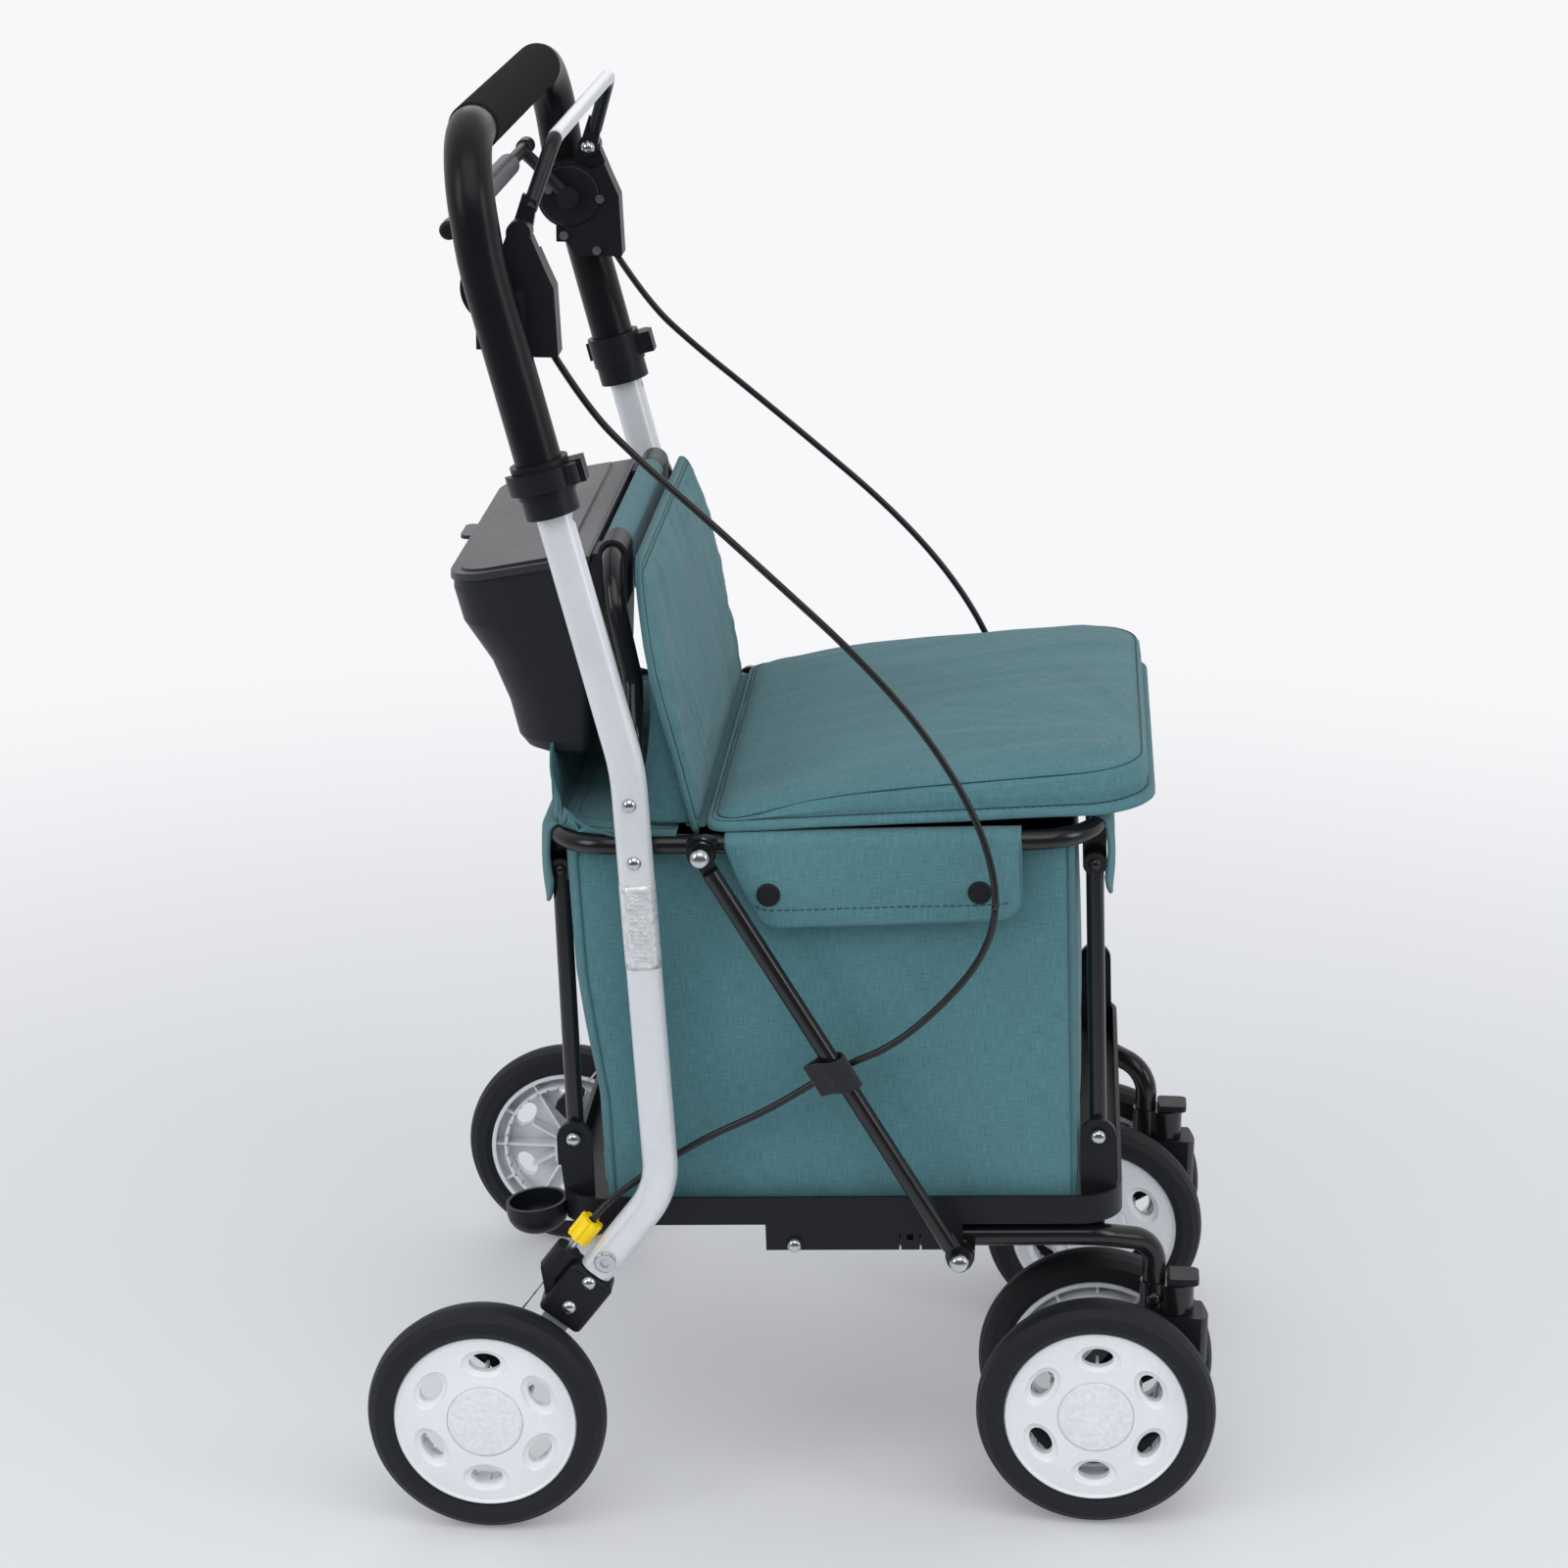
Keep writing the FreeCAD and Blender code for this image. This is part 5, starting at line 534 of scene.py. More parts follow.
# %% Places of the upper part
def leaned(out, y, z):
    """A point of the level frame, in millimetres from the rear axle, as a leaned point in metres."""
    dx = out - slope_pivot[0]
    dz = z - slope_pivot[1]
    x = slope_pivot[0] + dx * cos(slope) - dz * sin(slope)
    return Vector((rear_axle_x + x / 1000, y / 1000,
                   (slope_pivot[1] + dx * sin(slope) + dz * cos(slope)) / 1000))


def plain(out, y, z):
    """A point in millimetres from the rear axle, in metres."""
    return Vector((rear_axle_x + out / 1000, y / 1000, z / 1000))

# %% Sheets
def grid_faces(count_u, count_v, columns, start=0):
    """Quads between rows of vertices; the last column is joined to the first where the rows are closed."""
    faces = []
    for j in range(count_v):
        low = start + j * columns
        for i in range(count_u):
            n = (i + 1) % columns
            faces.append((low + i, low + n, low + columns + n, low + columns + i))
    return faces


def sheet_grid(name, surface, count_u, count_v, closed_u=False):
    """A grid of quads over surface(u, v)."""
    columns = count_u if closed_u else count_u + 1
    verts = [surface(i / count_u, j / count_v) for j in range(count_v + 1) for i in range(columns)]
    return new_object(name, verts, grid_faces(count_u, count_v, columns))


def thicken(piece, thickness, offset=0.0):
    """Gives a sheet its cloth thickness."""
    solid = piece.modifiers.new("thickness", "SOLIDIFY")
    solid.thickness = thickness
    solid.offset = offset
    apply_modifiers(piece)


def apply_modifiers(piece):
    """Bakes every modifier into the mesh."""
    graph = bpy.context.evaluated_depsgraph_get()
    mesh = bpy.data.meshes.new_from_object(piece.evaluated_get(graph))
    piece.modifiers.clear()
    old = piece.data
    piece.data = mesh
    bpy.data.meshes.remove(old)
    piece.data.polygons.foreach_set("use_smooth", [True] * len(piece.data.polygons))

# %% Wrinkles, sections and corners
def crease(point, amount, scale, seed=0.0):
    """Smooth wrinkle height at a point, in the units of amount."""
    return amount * noise.noise(Vector((point[0] * scale[0] + seed, point[1] * scale[1], point[2] * scale[2])))


def ease(t):
    t = max(0.0, min(1.0, t))
    return t * t * (3 - 2 * t)


def at_station(stations, x):
    """Value between measured stations, given as pairs (x, value)."""
    for (x0, v0), (x1, v1) in zip(stations, stations[1:]):
        if x <= x1:
            return v0 + (v1 - v0) * max(0.0, (x - x0) / (x1 - x0))
    return stations[-1][1]


def section_at(section, v):
    """Point of a section at a share of its number of points."""
    place = v * (len(section) - 1)
    index = min(int(place), len(section) - 2)
    return Vector(section[index]).lerp(Vector(section[index + 1]), place - index)


def corner_drop(edge, radius):
    """How far a rounded corner lies inside the full shape, at a distance from the end."""
    short = max(0.0, radius - edge)
    return radius - sqrt(max(0.0, radius ** 2 - short ** 2))

# %% Mesh repair
@contextmanager
def edited(piece):
    """Opens a piece's mesh for editing and writes it back."""
    mesh = bmesh.new()
    mesh.from_mesh(piece.data)
    yield mesh
    mesh.to_mesh(piece.data)
    mesh.free()


def close_holes(mesh):
    """Fills every open end with triangles."""
    bmesh.ops.holes_fill(mesh, edges=[e for e in mesh.edges if e.is_boundary], sides=0)
    bmesh.ops.triangulate(mesh, faces=[f for f in mesh.faces if len(f.verts) > 4])


def weld(mesh, distance=0.00005):
    """Joins vertices that lie together."""
    bmesh.ops.remove_doubles(mesh, verts=mesh.verts, dist=distance)


def face_outward(mesh):
    """Turns all faces the same way out."""
    bmesh.ops.recalc_face_normals(mesh, faces=mesh.faces)

# %% Dressing a piece
def dress(piece, finish, body, replaces=None):
    """Gives a piece its finish, its body and the solid that it stands for."""
    piece.data.materials.append(finish)
    if replaces:
        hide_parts(replaces)
    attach(piece, body)
    print(piece.name, "faces", len(piece.data.polygons), "on", body)
    return piece


def cloth_piece(name, surface, counts, thickness, replaces=None, finish=teal_canvas,
                body="frame", offset=0.0, closed_u=False):
    """A thickened sheet over surface(u, v), dressed."""
    piece = sheet_grid(name, surface, *counts, closed_u=closed_u)
    thicken(piece, thickness, offset)
    return dress(piece, finish, body, replaces)


def draw_up(piece, top, keep):
    """Gives a piece its own copy of its mesh."""
    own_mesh(piece)
    return piece

# %% Seams
def welt(name, line, radius, finish, body, closed=False):
    """A piped seam or cord of binding along a line."""
    piece = new_object(name, *tube_mesh(line, radius, 8, closed))
    return dress(piece, finish, body)


def stitches(name, line, body, length=0.0032, gap=0.0018, radius=0.00042):
    """A row of short thread stitches along a line."""
    verts = []
    faces = []
    total = line_length(line)
    reach = 0.0
    walked = 0.0
    index = 0

    def point_at(distance):
        nonlocal index, walked
        while index < len(line) - 2 and walked + (line[index + 1] - line[index]).length < distance:
            walked += (line[index + 1] - line[index]).length
            index += 1
        step = line[index + 1] - line[index]
        share = min(1.0, (distance - walked) / max(step.length, 1e-9))
        return line[index] + step * share

    while reach + length < total:
        a = point_at(reach)
        b = point_at(reach + length)
        part, part_faces = tube_mesh([a, a.lerp(b, 0.5), b], radius, 5)
        base = len(verts)
        verts.extend(part)
        faces.extend(tuple(base + i for i in face) for face in part_faces)
        reach += length + gap
    return dress(new_object(name, verts, faces), seam_thread, body)


# %% [markdown]
# ## Seat cushion
# The seat lid is a board in a fabric cover with a wedge of foam on it. A flat flange of doubled cloth runs
# round the board, above it stands a boxed side, and a thin seam joins the side to the top. The body is
# built as rings that follow the outline, from the flange over the seam to the middle of the top.

# %% Seat lid frame
lid_hinge = 148.0
lid_front = 443.0
lid_halves = (192.0, 184.0)
lid_base = ring_z + ring_r + 0.4 + 1.5 + 0.3
lid_pivot = (lid_hinge + 3.0, lid_base + 3.0)
lid_lift = radians(1.5)


def lid_place(out, y, z):
    """A point of the lid's own frame, raised to the front by the lid's own lift."""
    dx = out - lid_pivot[0]
    dz = z - lid_pivot[1]
    return leaned(lid_pivot[0] + dx * cos(lid_lift) - dz * sin(lid_lift), y,
                  lid_pivot[1] + dx * sin(lid_lift) + dz * cos(lid_lift))

# %% Outlines
def rounded_outline(corners, radii, step):
    """Points of a closed outline with rounded corners, as (x, y)."""
    outline = []
    count = len(corners)
    for i in range(count):
        here = Vector(corners[i])
        before = (here - Vector(corners[i - 1])).normalized()
        after = (Vector(corners[(i + 1) % count]) - here).normalized()
        turn = before.angle(after)
        setback = radii[i] * tan(turn / 2)
        start = here - before * setback
        end = here + after * setback
        inward = (after - before).normalized()
        middle = here + inward * (radii[i] / cos(turn / 2))
        for k in range(step + 1):
            t = k / step
            ray = (start.lerp(end, t) - middle).normalized()
            outline.append(middle + ray * radii[i])
    return outline


def even_outline(outline, count):
    """The same closed outline with equal steps."""
    closed = list(outline) + [outline[0]]
    lengths = [0.0]
    for a, b in zip(closed, closed[1:]):
        lengths.append(lengths[-1] + (b - a).length)
    result = []
    index = 0
    for k in range(count):
        want = lengths[-1] * k / count
        while lengths[index + 1] < want:
            index += 1
        share = (want - lengths[index]) / max(lengths[index + 1] - lengths[index], 1e-9)
        result.append(closed[index].lerp(closed[index + 1], share))
    return result


seat_steps = 200
rear_half, front_half = lid_halves
seat_plan = even_outline(rounded_outline(
    ((lid_hinge, -rear_half), (lid_front, -front_half), (lid_front, front_half), (lid_hinge, rear_half)),
    (14.0, 44.0, 44.0, 14.0), 12), seat_steps)


def seat_inset(point, inset):
    """Moves an outline point towards the middle of the seat, more where the outline is far from it."""
    half_x = (lid_front - lid_hinge) / 2
    centre = Vector(((lid_front + lid_hinge) / 2, 0))
    offset = point - centre
    return Vector((centre.x + offset.x * (1 - inset / half_x), offset.y * (1 - inset / rear_half)))

# %% Seat heights
# Heights above the board at distances from the axle: the side's top seam, and the crest of the top.
seam_heights = ((148, 6.3), (168, 6.6), (181, 8.6), (200, 12.8), (218, 16.4), (240, 19.2), (272, 21.5),
                (308, 23.2), (362, 25.3), (411, 27.3), (443, 28.2))
crest_heights = ((148, 7.5), (153, 11.0), (160, 15.2), (172, 18.2), (190, 20.8), (216, 24.0), (277, 29.6),
                 (318, 32.6), (365, 35.2), (400, 36.0), (425, 34.4), (443, 30.5))
# The seat's cross section: ring 0 is the board's lower edge, ring 1 the middle of the top. The columns are
# ring, inset, height, share of the seam's height and share of the crest's height.
board = 6.0
seat_rings = ((0.0, 3.0, 0.0, 0.0, 0.0), (0.03, -0.3, -0.6, 0.0, 0.0), (0.05, -1.2, 0.8, 0.0, 0.0),
              (0.08, -1.0, 4.0, 0.0, 0.0), (0.11, 0.4, 5.8, 0.0, 0.0), (0.13, 2.6, board, 0.0, 0.0),
              (0.15, 3.4, board, 0.06, 0.0), (0.22, 2.2, board, 0.42, 0.0), (0.28, 3.0, board, 0.82, 0.0),
              (0.32, 5.2, board, 1.0, 0.0), (0.34, 6.6, board, 1.0, 0.04), (0.38, 9.6, board, 1.0, 0.26),
              (0.44, 16.0, board, 1.0, 0.52), (0.52, 28.0, board, 1.0, 0.74), (0.62, 50.0, board, 1.0, 0.89),
              (0.76, 84.0, board, 1.0, 0.97), (0.90, 118.0, board, 1.0, 1.0), (1.0, 147.0, board, 1.0, 1.0))

# %% Seat cross section
def seat_ring_point(point, ring):
    """A point of the seat's cross section under or over an outline point."""
    for low, high in zip(seat_rings, seat_rings[1:]):
        if ring <= high[0] + 1e-9:
            t = (ring - low[0]) / (high[0] - low[0])
            inset, lift, share, crown = (low[k] + (high[k] - low[k]) * t for k in range(1, 5))
            break
    if inset < 0 and point.x > 380:
        inset *= 1.8
    flat = seat_inset(point, inset)
    seam = at_station(seam_heights, flat.x) - board
    crest = at_station(crest_heights, flat.x) - board - seam
    rear = 1 - ease((flat.x - lid_hinge - 10.0) / 34.0)
    crown = crown ** (1 - 0.62 * rear * ease((190.0 - abs(flat.y)) / 30.0))
    z = lid_base + lift + seam * share + crest * crown + 1.6 * crown * (1 - (flat.y / rear_half) ** 2)
    return flat, z

# %% Seat cover
def seat_surface(u, v):
    flat, z = seat_ring_point(seat_plan[int(round(u * seat_steps)) % seat_steps], v)
    if v > 0.34:
        near_edge = ease((v - 0.34) / 0.12)
        along = flat.x * 0.97 + flat.y * 0.24
        across = flat.y * 0.97 - flat.x * 0.24
        pull = crease((along, across, 0), 1.5, (0.007, 0.030, 0), 3.0)
        pull += crease((along, across, 0), 0.7, (0.012, 0.085, 0), 9.0)
        corner = Vector((flat.x - 452.0, flat.y + 120.0))
        turn = atan2(corner.y, -corner.x)
        radial = crease((turn * 120.0, corner.length, 0), 3.2, (0.085, 0.006, 0), 17.0)
        pull += radial * exp(-corner.length / 120.0) * ease(corner.length / 30.0)
        z += pull * near_edge
    elif v > 0.15:
        z += crease((flat.x, flat.y, v * 50), 0.9, (0.035, 0.035, 1), 5.0)
    elif v < 0.1:
        z += crease((flat.x, flat.y, 0), 0.9, (0.02, 0.02, 1), 25.0) * (1 - v / 0.1)
    return lid_place(flat.x, flat.y, z)


seat = sheet_grid("seat_cushion_cover", seat_surface, seat_steps, 64, closed_u=True)
with edited(seat) as mesh:
    close_holes(mesh)
    weld(mesh)
    face_outward(mesh)
dress(seat, teal_canvas, "seat_lid", "seat_cushion")

# %% Seat seams
def seat_line(ring, lift=0.1):
    """A line round the seat on one ring of its cross section."""
    line = []
    for point in seat_plan:
        flat, z = seat_ring_point(point, ring)
        line.append(lid_place(flat.x, flat.y, z + lift))
    return line


welt("seat_top_seam", seat_line(0.33), 0.0006, seam_thread, "seat_lid", True)
welt("seat_flange_seam", seat_line(0.14), 0.0005, seam_thread, "seat_lid", True)
stitches("seat_flange_stitches", seat_line(0.13, 0.25), "seat_lid")

# %% [markdown]
# ## Backrest pad
# A flat cushion on the frame behind it. Its border is a flat band with a seam. Inside the seam the filling
# rises, and it pulls the cloth into wrinkles that start at the seam and die out towards the middle.

# %% Backrest pad
pad_foot = 488.5
pad_top = 670.0
pad_border = 9.0
pad_front_fill = 6.2
pad_halves = ((pad_foot, 178), (492, 184), (505, 188), (545, 194), (575, 202), (603, 206.5), (622, 201),
              (638, 190), (650, 180), (659, 170), (665, 158), (668.5, 147), (pad_top, 138))


def pad_half(z):
    """Half width of the pad at a height."""
    return at_station(pad_halves, z)


def pad_plane(z):
    """Distance of the pad's middle plane from the axle at a height."""
    return 94.8 + (684.0 - z) * 0.2284


def pad_place(y, z, depth):
    """A point of the pad: depth is measured forward from the pad's middle plane."""
    return plain(pad_plane(z) + depth, y, z)

# %% Depth of the pad
def pad_depth(y, z, full, wrinkled):
    """Depth of one face of the pad: rounded edge, flat border, seam groove, then the filling."""
    side = pad_half(z) - abs(y)
    edge = max(0.0, min(side * 0.93, z - pad_foot, pad_top - z))
    depth = 1.9 * sqrt(max(0.0, 1 - (1 - min(1.0, edge / 2.2)) ** 2)) + 0.25
    inside = edge - pad_border
    if inside > 0:
        depth += full * (1 - exp(-inside / 13.0)) + 0.7 * sin(pi * min(1.0, inside / 5.0))
    else:
        depth -= 0.55 * exp(-((inside + 0.3) / 1.3) ** 2)
    if wrinkled:
        fade = ease((inside + 2.0) / 10.0)
        pull = crease((z, y, 0), 2.1, (0.075, 0.012, 0), 3.0) * exp(-max(0.0, inside) / 42.0)
        pull += crease((z, y, 0), 1.1, (0.17, 0.02, 0), 8.0) * exp(-max(0.0, inside) / 20.0)
        upper = max(0.0, pad_top - pad_border - z)
        pull += crease((y, z, 0), 1.9, (0.055, 0.012, 0), 14.0) * exp(-upper / 48.0)
        slant = y * 0.55 + z * 0.83
        across = z * 0.55 - y * 0.83
        pull += crease((slant, across, 0), 2.3, (0.006, 0.034, 0), 21.0)
        pull += crease((y, z, 0), 1.6, (0.014, 0.011, 0), 33.0)
        far_side = ease((abs(y + 4.0) - 30.0) / 90.0) * ease((622.0 - z) / 70.0)
        pull += far_side * crease((y + 0.28 * z, z, 0), 3.4, (0.05, 0.007, 0), 27.0)
        pull += far_side * crease((y + 0.42 * z, z, 0), 1.6, (0.11, 0.012, 0), 37.0)
        lower = ease((z - pad_foot) / 40.0)
        depth += pull * fade * (0.35 + 0.65 * lower)
    return depth

# %% Pad cover
def pad_surface(u, v):
    z = pad_foot + (pad_top - pad_foot) * (0.5 - 0.5 * cos(pi * v)) ** 0.92
    front = u < 0.5
    t = u * 2 if front else 2 - u * 2
    spread = 0.72 * (2 * t - 1) + 0.28 * sin(pi * (t - 0.5))
    y = -pad_half(z) * spread
    depth = pad_depth(y, z, pad_front_fill, True) if front else -pad_depth(y, z, 4.0, False)
    return pad_place(y, z, depth)


pad = sheet_grid("backrest_pad_cover", pad_surface, 320, 130, closed_u=True)
with edited(pad) as mesh:
    weld(mesh)
    close_holes(mesh)
    face_outward(mesh)
dress(pad, teal_canvas, "frame", "backrest_pad")

# %% Pad seams
def pad_line(inset, lift=0.0):
    """A line round the front of the pad at a distance from its edge."""
    line = []
    low = pad_foot + inset
    high = pad_top - inset
    for k in range(61):
        z = low + (high - low) * k / 60
        line.append((pad_half(z) - inset, z))
    across = pad_half(high) - inset
    line += [(across * (1 - k / 15), high) for k in range(1, 31)]
    line += [(-y, z) for y, z in reversed(line[:61])]
    across = pad_half(low) - inset
    line += [(-across * (1 - k / 15), low) for k in range(1, 30)]
    return [pad_place(y, z, pad_depth(y, z, pad_front_fill, True) + lift) for y, z in line]


welt("pad_bound_edge", pad_line(0.1, -0.6), 0.0013, teal_binding, "frame", True)
welt("pad_border_seam", pad_line(pad_border), 0.00055, seam_thread, "frame", True)
welt("pad_border_stitch", pad_line(4.5), 0.0004, seam_thread, "frame", True)

# %% [markdown]
# ## Sleeve, gussets and hinge cloth
# The pad is held to its frame by a sleeve that wraps the top bar, by a gusset of cloth at each side and by a
# webbing tab. A strip of binding tape bridges the gap to the seat lid. Each is a thin sheet, so a section or a
# short formula is enough, and a thickness is added afterwards.

# %% Sleeve round the top bar
sleeve_bend = [pi * k / 12 for k in range(-1, 14)]
sleeve_section = [(91.5, 636.0), (90.5, 650.0)]
sleeve_section += [(80.0 + 8.9 * cos(a), 668.0 + 8.9 * sin(a)) for a in sleeve_bend]
sleeve_section += [(70.8, 656.0), (72.0, 646.0)]


def sleeve_surface(u, v):
    x, z = section_at(sleeve_section, v)
    y = -103.0 + 206.0 * u
    pucker = crease((y, z, 0), 0.8, (0.06, 0.03, 0), 41.0)
    return plain(x + pucker * 0.4, y, z + pucker * 0.5)


cloth_piece("pad_bar_sleeve", sleeve_surface, (80, 56), 0.0011, "backrest_pad")

# %% Side gussets and strap tab of the pad
for side, hand in ((-1, "right"), (1, "left")):
    def gusset_surface(u, v, side=side):
        z = 496.0 + 100.0 * v
        x = pad_plane(z) - 3.0 - (34.0 * (1 - v) ** 1.5 + 4.0) * u
        away = 179.0 + 2.0 * sin(pi * u) + crease((x, z, side), 1.6, (0.05, 0.02, 1), 51.0)
        return plain(x, side * away, z)

    cloth_piece("pad_gusset_" + hand, gusset_surface, (24, 40), 0.0011, "backrest_pad")


def tab_surface(u, v):
    z = 527.0 + 26.0 * v
    return pad_place(pad_half(z) - 8.0 + 15.0 * u, z, -4.4 - 0.8 * sin(pi * u))


cloth_piece("pad_strap_tab", tab_surface, (10, 10), 0.0018, finish=black_webbing)

# %% Hinge cloth between pad and seat lid
hinge_section = ((133.0, 490.8), (137.0, 489.6), (140.5, 489.2), (143.5, 489.4), (146.2, 489.9))


def hinge_cloth(u, v):
    x, z = section_at(hinge_section, v)
    return leaned(x, -180.0 + 360.0 * u, z)


cloth_piece("seat_hinge_cloth", hinge_cloth, (60, 12), 0.0011, finish=teal_binding)

# %% [markdown]
# ## Cable straps
# Each cable passes under a short strap of webbing round the diagonal strut. The strap is a closed band whose
# outline is round at the strut and drawn out to a tail where the webbing is sewn together.

# %% Straps
for side, hand in ((-1, "right"), (1, "left")):
    strut_low = plain(321.3, side * 212.0, 199.1)
    strut_high = plain(145.0, side * 212.0, 483.4)
    along = (strut_high - strut_low).normalized()
    middle = strut_low.lerp(strut_high, (0.334 - strut_low.z) / (strut_high.z - strut_low.z))
    sideways = Vector((0, side, 0))
    across = along.cross(sideways)
    if across.x > 0:
        across = -across

    def strap_surface(u, v, middle=middle, along=along, sideways=sideways, across=across):
        a = 2 * pi * u
        tail = max(0.0, cos(a)) ** 6
        wide = 9.2 + 9.0 * tail
        point = across * (wide * cos(a)) + sideways * (9.6 * sin(a) * (1 - 0.35 * tail) + 1.2)
        pucker = crease((a * 8, v * 30, 0), 0.7, (0.3, 0.1, 1), 61.0)
        return middle + (point * (1 + pucker * 0.02) + along * (24.0 * (v - 0.5) + 3.0 * cos(a))) / 1000

    cloth_piece("cable_strap_" + hand, strap_surface, (56, 14), 0.0013, "cable_straps", black_webbing,
                "struts", closed_u=True)

# %% [markdown]
# ## Domed heads
# A domed head is turned metal, so its profile is swept round the pivot in rings. Heads that move together
# form one piece.

# %% Domed heads
# For each body: the centres of the heads on the left side, as (x, y, z), and their radii.
heads = {"struts": (((145.0, 218.2, 483.4), 6.6), ((321.3, 218.2, 199.1), 6.6)),
         "rear_posts": (((54.1, 176.3, 262.4), 5.2),),
         "front_posts": (((412.8, 176.3, 277.4), 5.2),),
         "tray_frame": (((207.7, 193.4, 196.8), 5.0),)}
spokes = 28
rings = 8
for body, places in heads.items():
    verts = []
    faces = []
    for (x, y, z), radius in places:
        for side in (-1, 1):
            quads = grid_faces(spokes, rings, spokes, len(verts))
            faces += quads if side < 0 else [quad[::-1] for quad in quads]
            for ring in range(rings + 1):
                lift = 0.62 * radius * (1 - (ring / rings) ** 2) ** 0.55 - 0.4
                reach = radius * ring / rings
                for k in range(spokes):
                    a = 2 * pi * k / spokes
                    verts.append(plain(x + reach * cos(a), side * (y + lift), z + reach * sin(a)))
    piece = new_object("domed_heads_" + body, verts, faces)
    with edited(piece) as mesh:
        weld(mesh, 0.00002)
    dress(piece, plated_steel, body)

# %% [markdown]
# ## Bag
# The bag hangs from the seat ring and stands on the tray. Its cloth is slack, so each wall bows out a
# little between the posts and shows long soft folds. The walls are one grid round the bag, and one
# face closes the bottom.

# %% Plan of the bag
bag_steps = 260
bag_low = 208.8
bag_high = 476.0
bag_rear = 57.5
bag_front = 392.0
bag_side = 180.5
bag_half = (bag_front - bag_rear) / 2
bag_centre = Vector(((bag_front + bag_rear) / 2, 0.0))
bag_draw = (0.475, 0.26)
bag_plan = even_outline(rounded_outline(
    ((bag_rear, -bag_side), (bag_front, -bag_side), (bag_front, bag_side), (bag_rear, bag_side)),
    (13.0,) * 4, 10), bag_steps)
rear_wall = ((0.0, 6.0), (0.12, 6.5), (0.32, 5.5), (0.5, -1.0), (0.66, -6.0), (1.0, -8.5))

# %% Bag walls
def bag_surface(u, v):
    point = bag_plan[int(round(u * bag_steps)) % bag_steps].copy()
    z = bag_low + (bag_high - bag_low) * v
    point.x += at_station(rear_wall, v) * max(0.0, 1 - (point.x - bag_rear) / 120.0)
    offset = point - bag_centre
    on_side = abs(offset.y) / bag_side >= abs(offset.x) / bag_half
    run = offset.x / bag_half if on_side else offset.y / bag_side
    bow = (1 - run * run) * sin(pi * min(1.0, v * 1.05)) ** 0.8
    out = -1.2 + 2.6 * bow
    fold = crease((point.x, point.y, z), 2.4, (0.022, 0.022, 0.008), 2.0)
    fold += crease((point.x, point.y, z), 1.0, (0.05, 0.05, 0.02), 6.0)
    foot = 1 - ease(v / 0.16)
    fold += foot * crease((point.x, point.y, z), 3.0, (0.045, 0.045, 0.01), 12.0)
    out += min(1.6, fold * (0.35 + 0.65 * bow) * 0.8)
    direction = Vector((0, copysign(1, offset.y))) if on_side else Vector((copysign(1, offset.x), 0))
    spread = point + direction * out
    if foot > 0:
        spread = point.lerp(spread, 1 - foot * 0.3) - direction * foot * 2.0
    return leaned(spread.x, spread.y, z)


bag = sheet_grid("bag_walls", bag_surface, bag_steps, 70, closed_u=True)
with edited(bag) as mesh:
    lower = [e for e in mesh.edges if e.is_boundary and all(v.index < bag_steps for v in e.verts)]
    bmesh.ops.holes_fill(mesh, edges=lower, sides=0)
    face_outward(mesh)
thicken(bag, 0.0012, -1.0)
draw_up(dress(bag, teal_canvas, "frame", "bag"), *bag_draw)

# %% Bag seams
def bag_seam(name, u, lift=0.0006, radius=0.0011):
    """A vertical seam on the bag wall."""
    line = []
    for k in range(60):
        v = k / 59
        point = bag_surface(u, v)
        ahead = bag_surface(u + 1 / bag_steps, v) - bag_surface(u - 1 / bag_steps, v)
        outward = Vector((ahead.y, -ahead.x, 0)).normalized()
        line.append(point + outward * lift)
    draw_up(welt(name, line, radius, teal_binding, "frame"), *bag_draw)


def plan_share(x, y):
    """The share of the bag's outline nearest to a plan point."""
    best = min(range(bag_steps), key=lambda i: (bag_plan[i] - Vector((x, y))).length)
    return best / bag_steps


for corner, (x, y) in {"rear_right": (66, -182), "rear_left": (66, 182), "front_right": (386, -182),
                       "front_left": (386, 182)}.items():
    bag_seam("bag_seam_" + corner, plan_share(x, y))
foot_line = [bag_surface(i / bag_steps, 0.012) for i in range(bag_steps)]
draw_up(welt("bag_foot_seam", foot_line, 0.0014, teal_binding, "frame", True), *bag_draw)

# %% [markdown]
# ## Cloth over the ring
# Three kinds of cloth fold over the black ring: a cover behind the seat, two side flaps with press studs
# and a front flap. Each is a strip whose section climbs over the tube and falls outside the bag. The
# length of the fall changes along the strip, which gives the flap its rounded corners.

# %% Section over the ring
cloth_gap = 0.9


def over_ring_section(fall, inner, bow=2.0, lift=cloth_gap):
    """Section of cloth over the ring tube: pairs of outward and upward distance from the tube's centre."""
    reach = ring_r + lift
    section = [(-inner, reach)]
    for k in range(9):
        a = pi / 2 * (1 - k / 8)
        section.append((reach * cos(a), reach * sin(a)))
    for k in range(1, 17):
        t = k / 16
        section.append((reach + bow * sin(pi * t) * 0.8 - 0.5 * t, -fall * t))
    return section

# %% Side flaps
def hem_line(surface, inset, step, side_count, edge_count, edge_v=0.998):
    """Points down one end of a sheet, along its lower edge and up the other end."""
    path = [(inset, 1 - step * (side_count - k)) for k in range(side_count)]
    path += [(inset + (1 - 2 * inset) * k / edge_count, edge_v) for k in range(edge_count + 1)]
    path += [(1 - inset, 1 - step * k) for k in range(side_count)]
    return [surface(u, v) for u, v in path]


def side_fall(share, length):
    """How far the side flap falls at a share of its length: rounded at both ends."""
    return 57.0 - 4.0 * share - corner_drop(min(share, 1 - share) * length, 17.0)


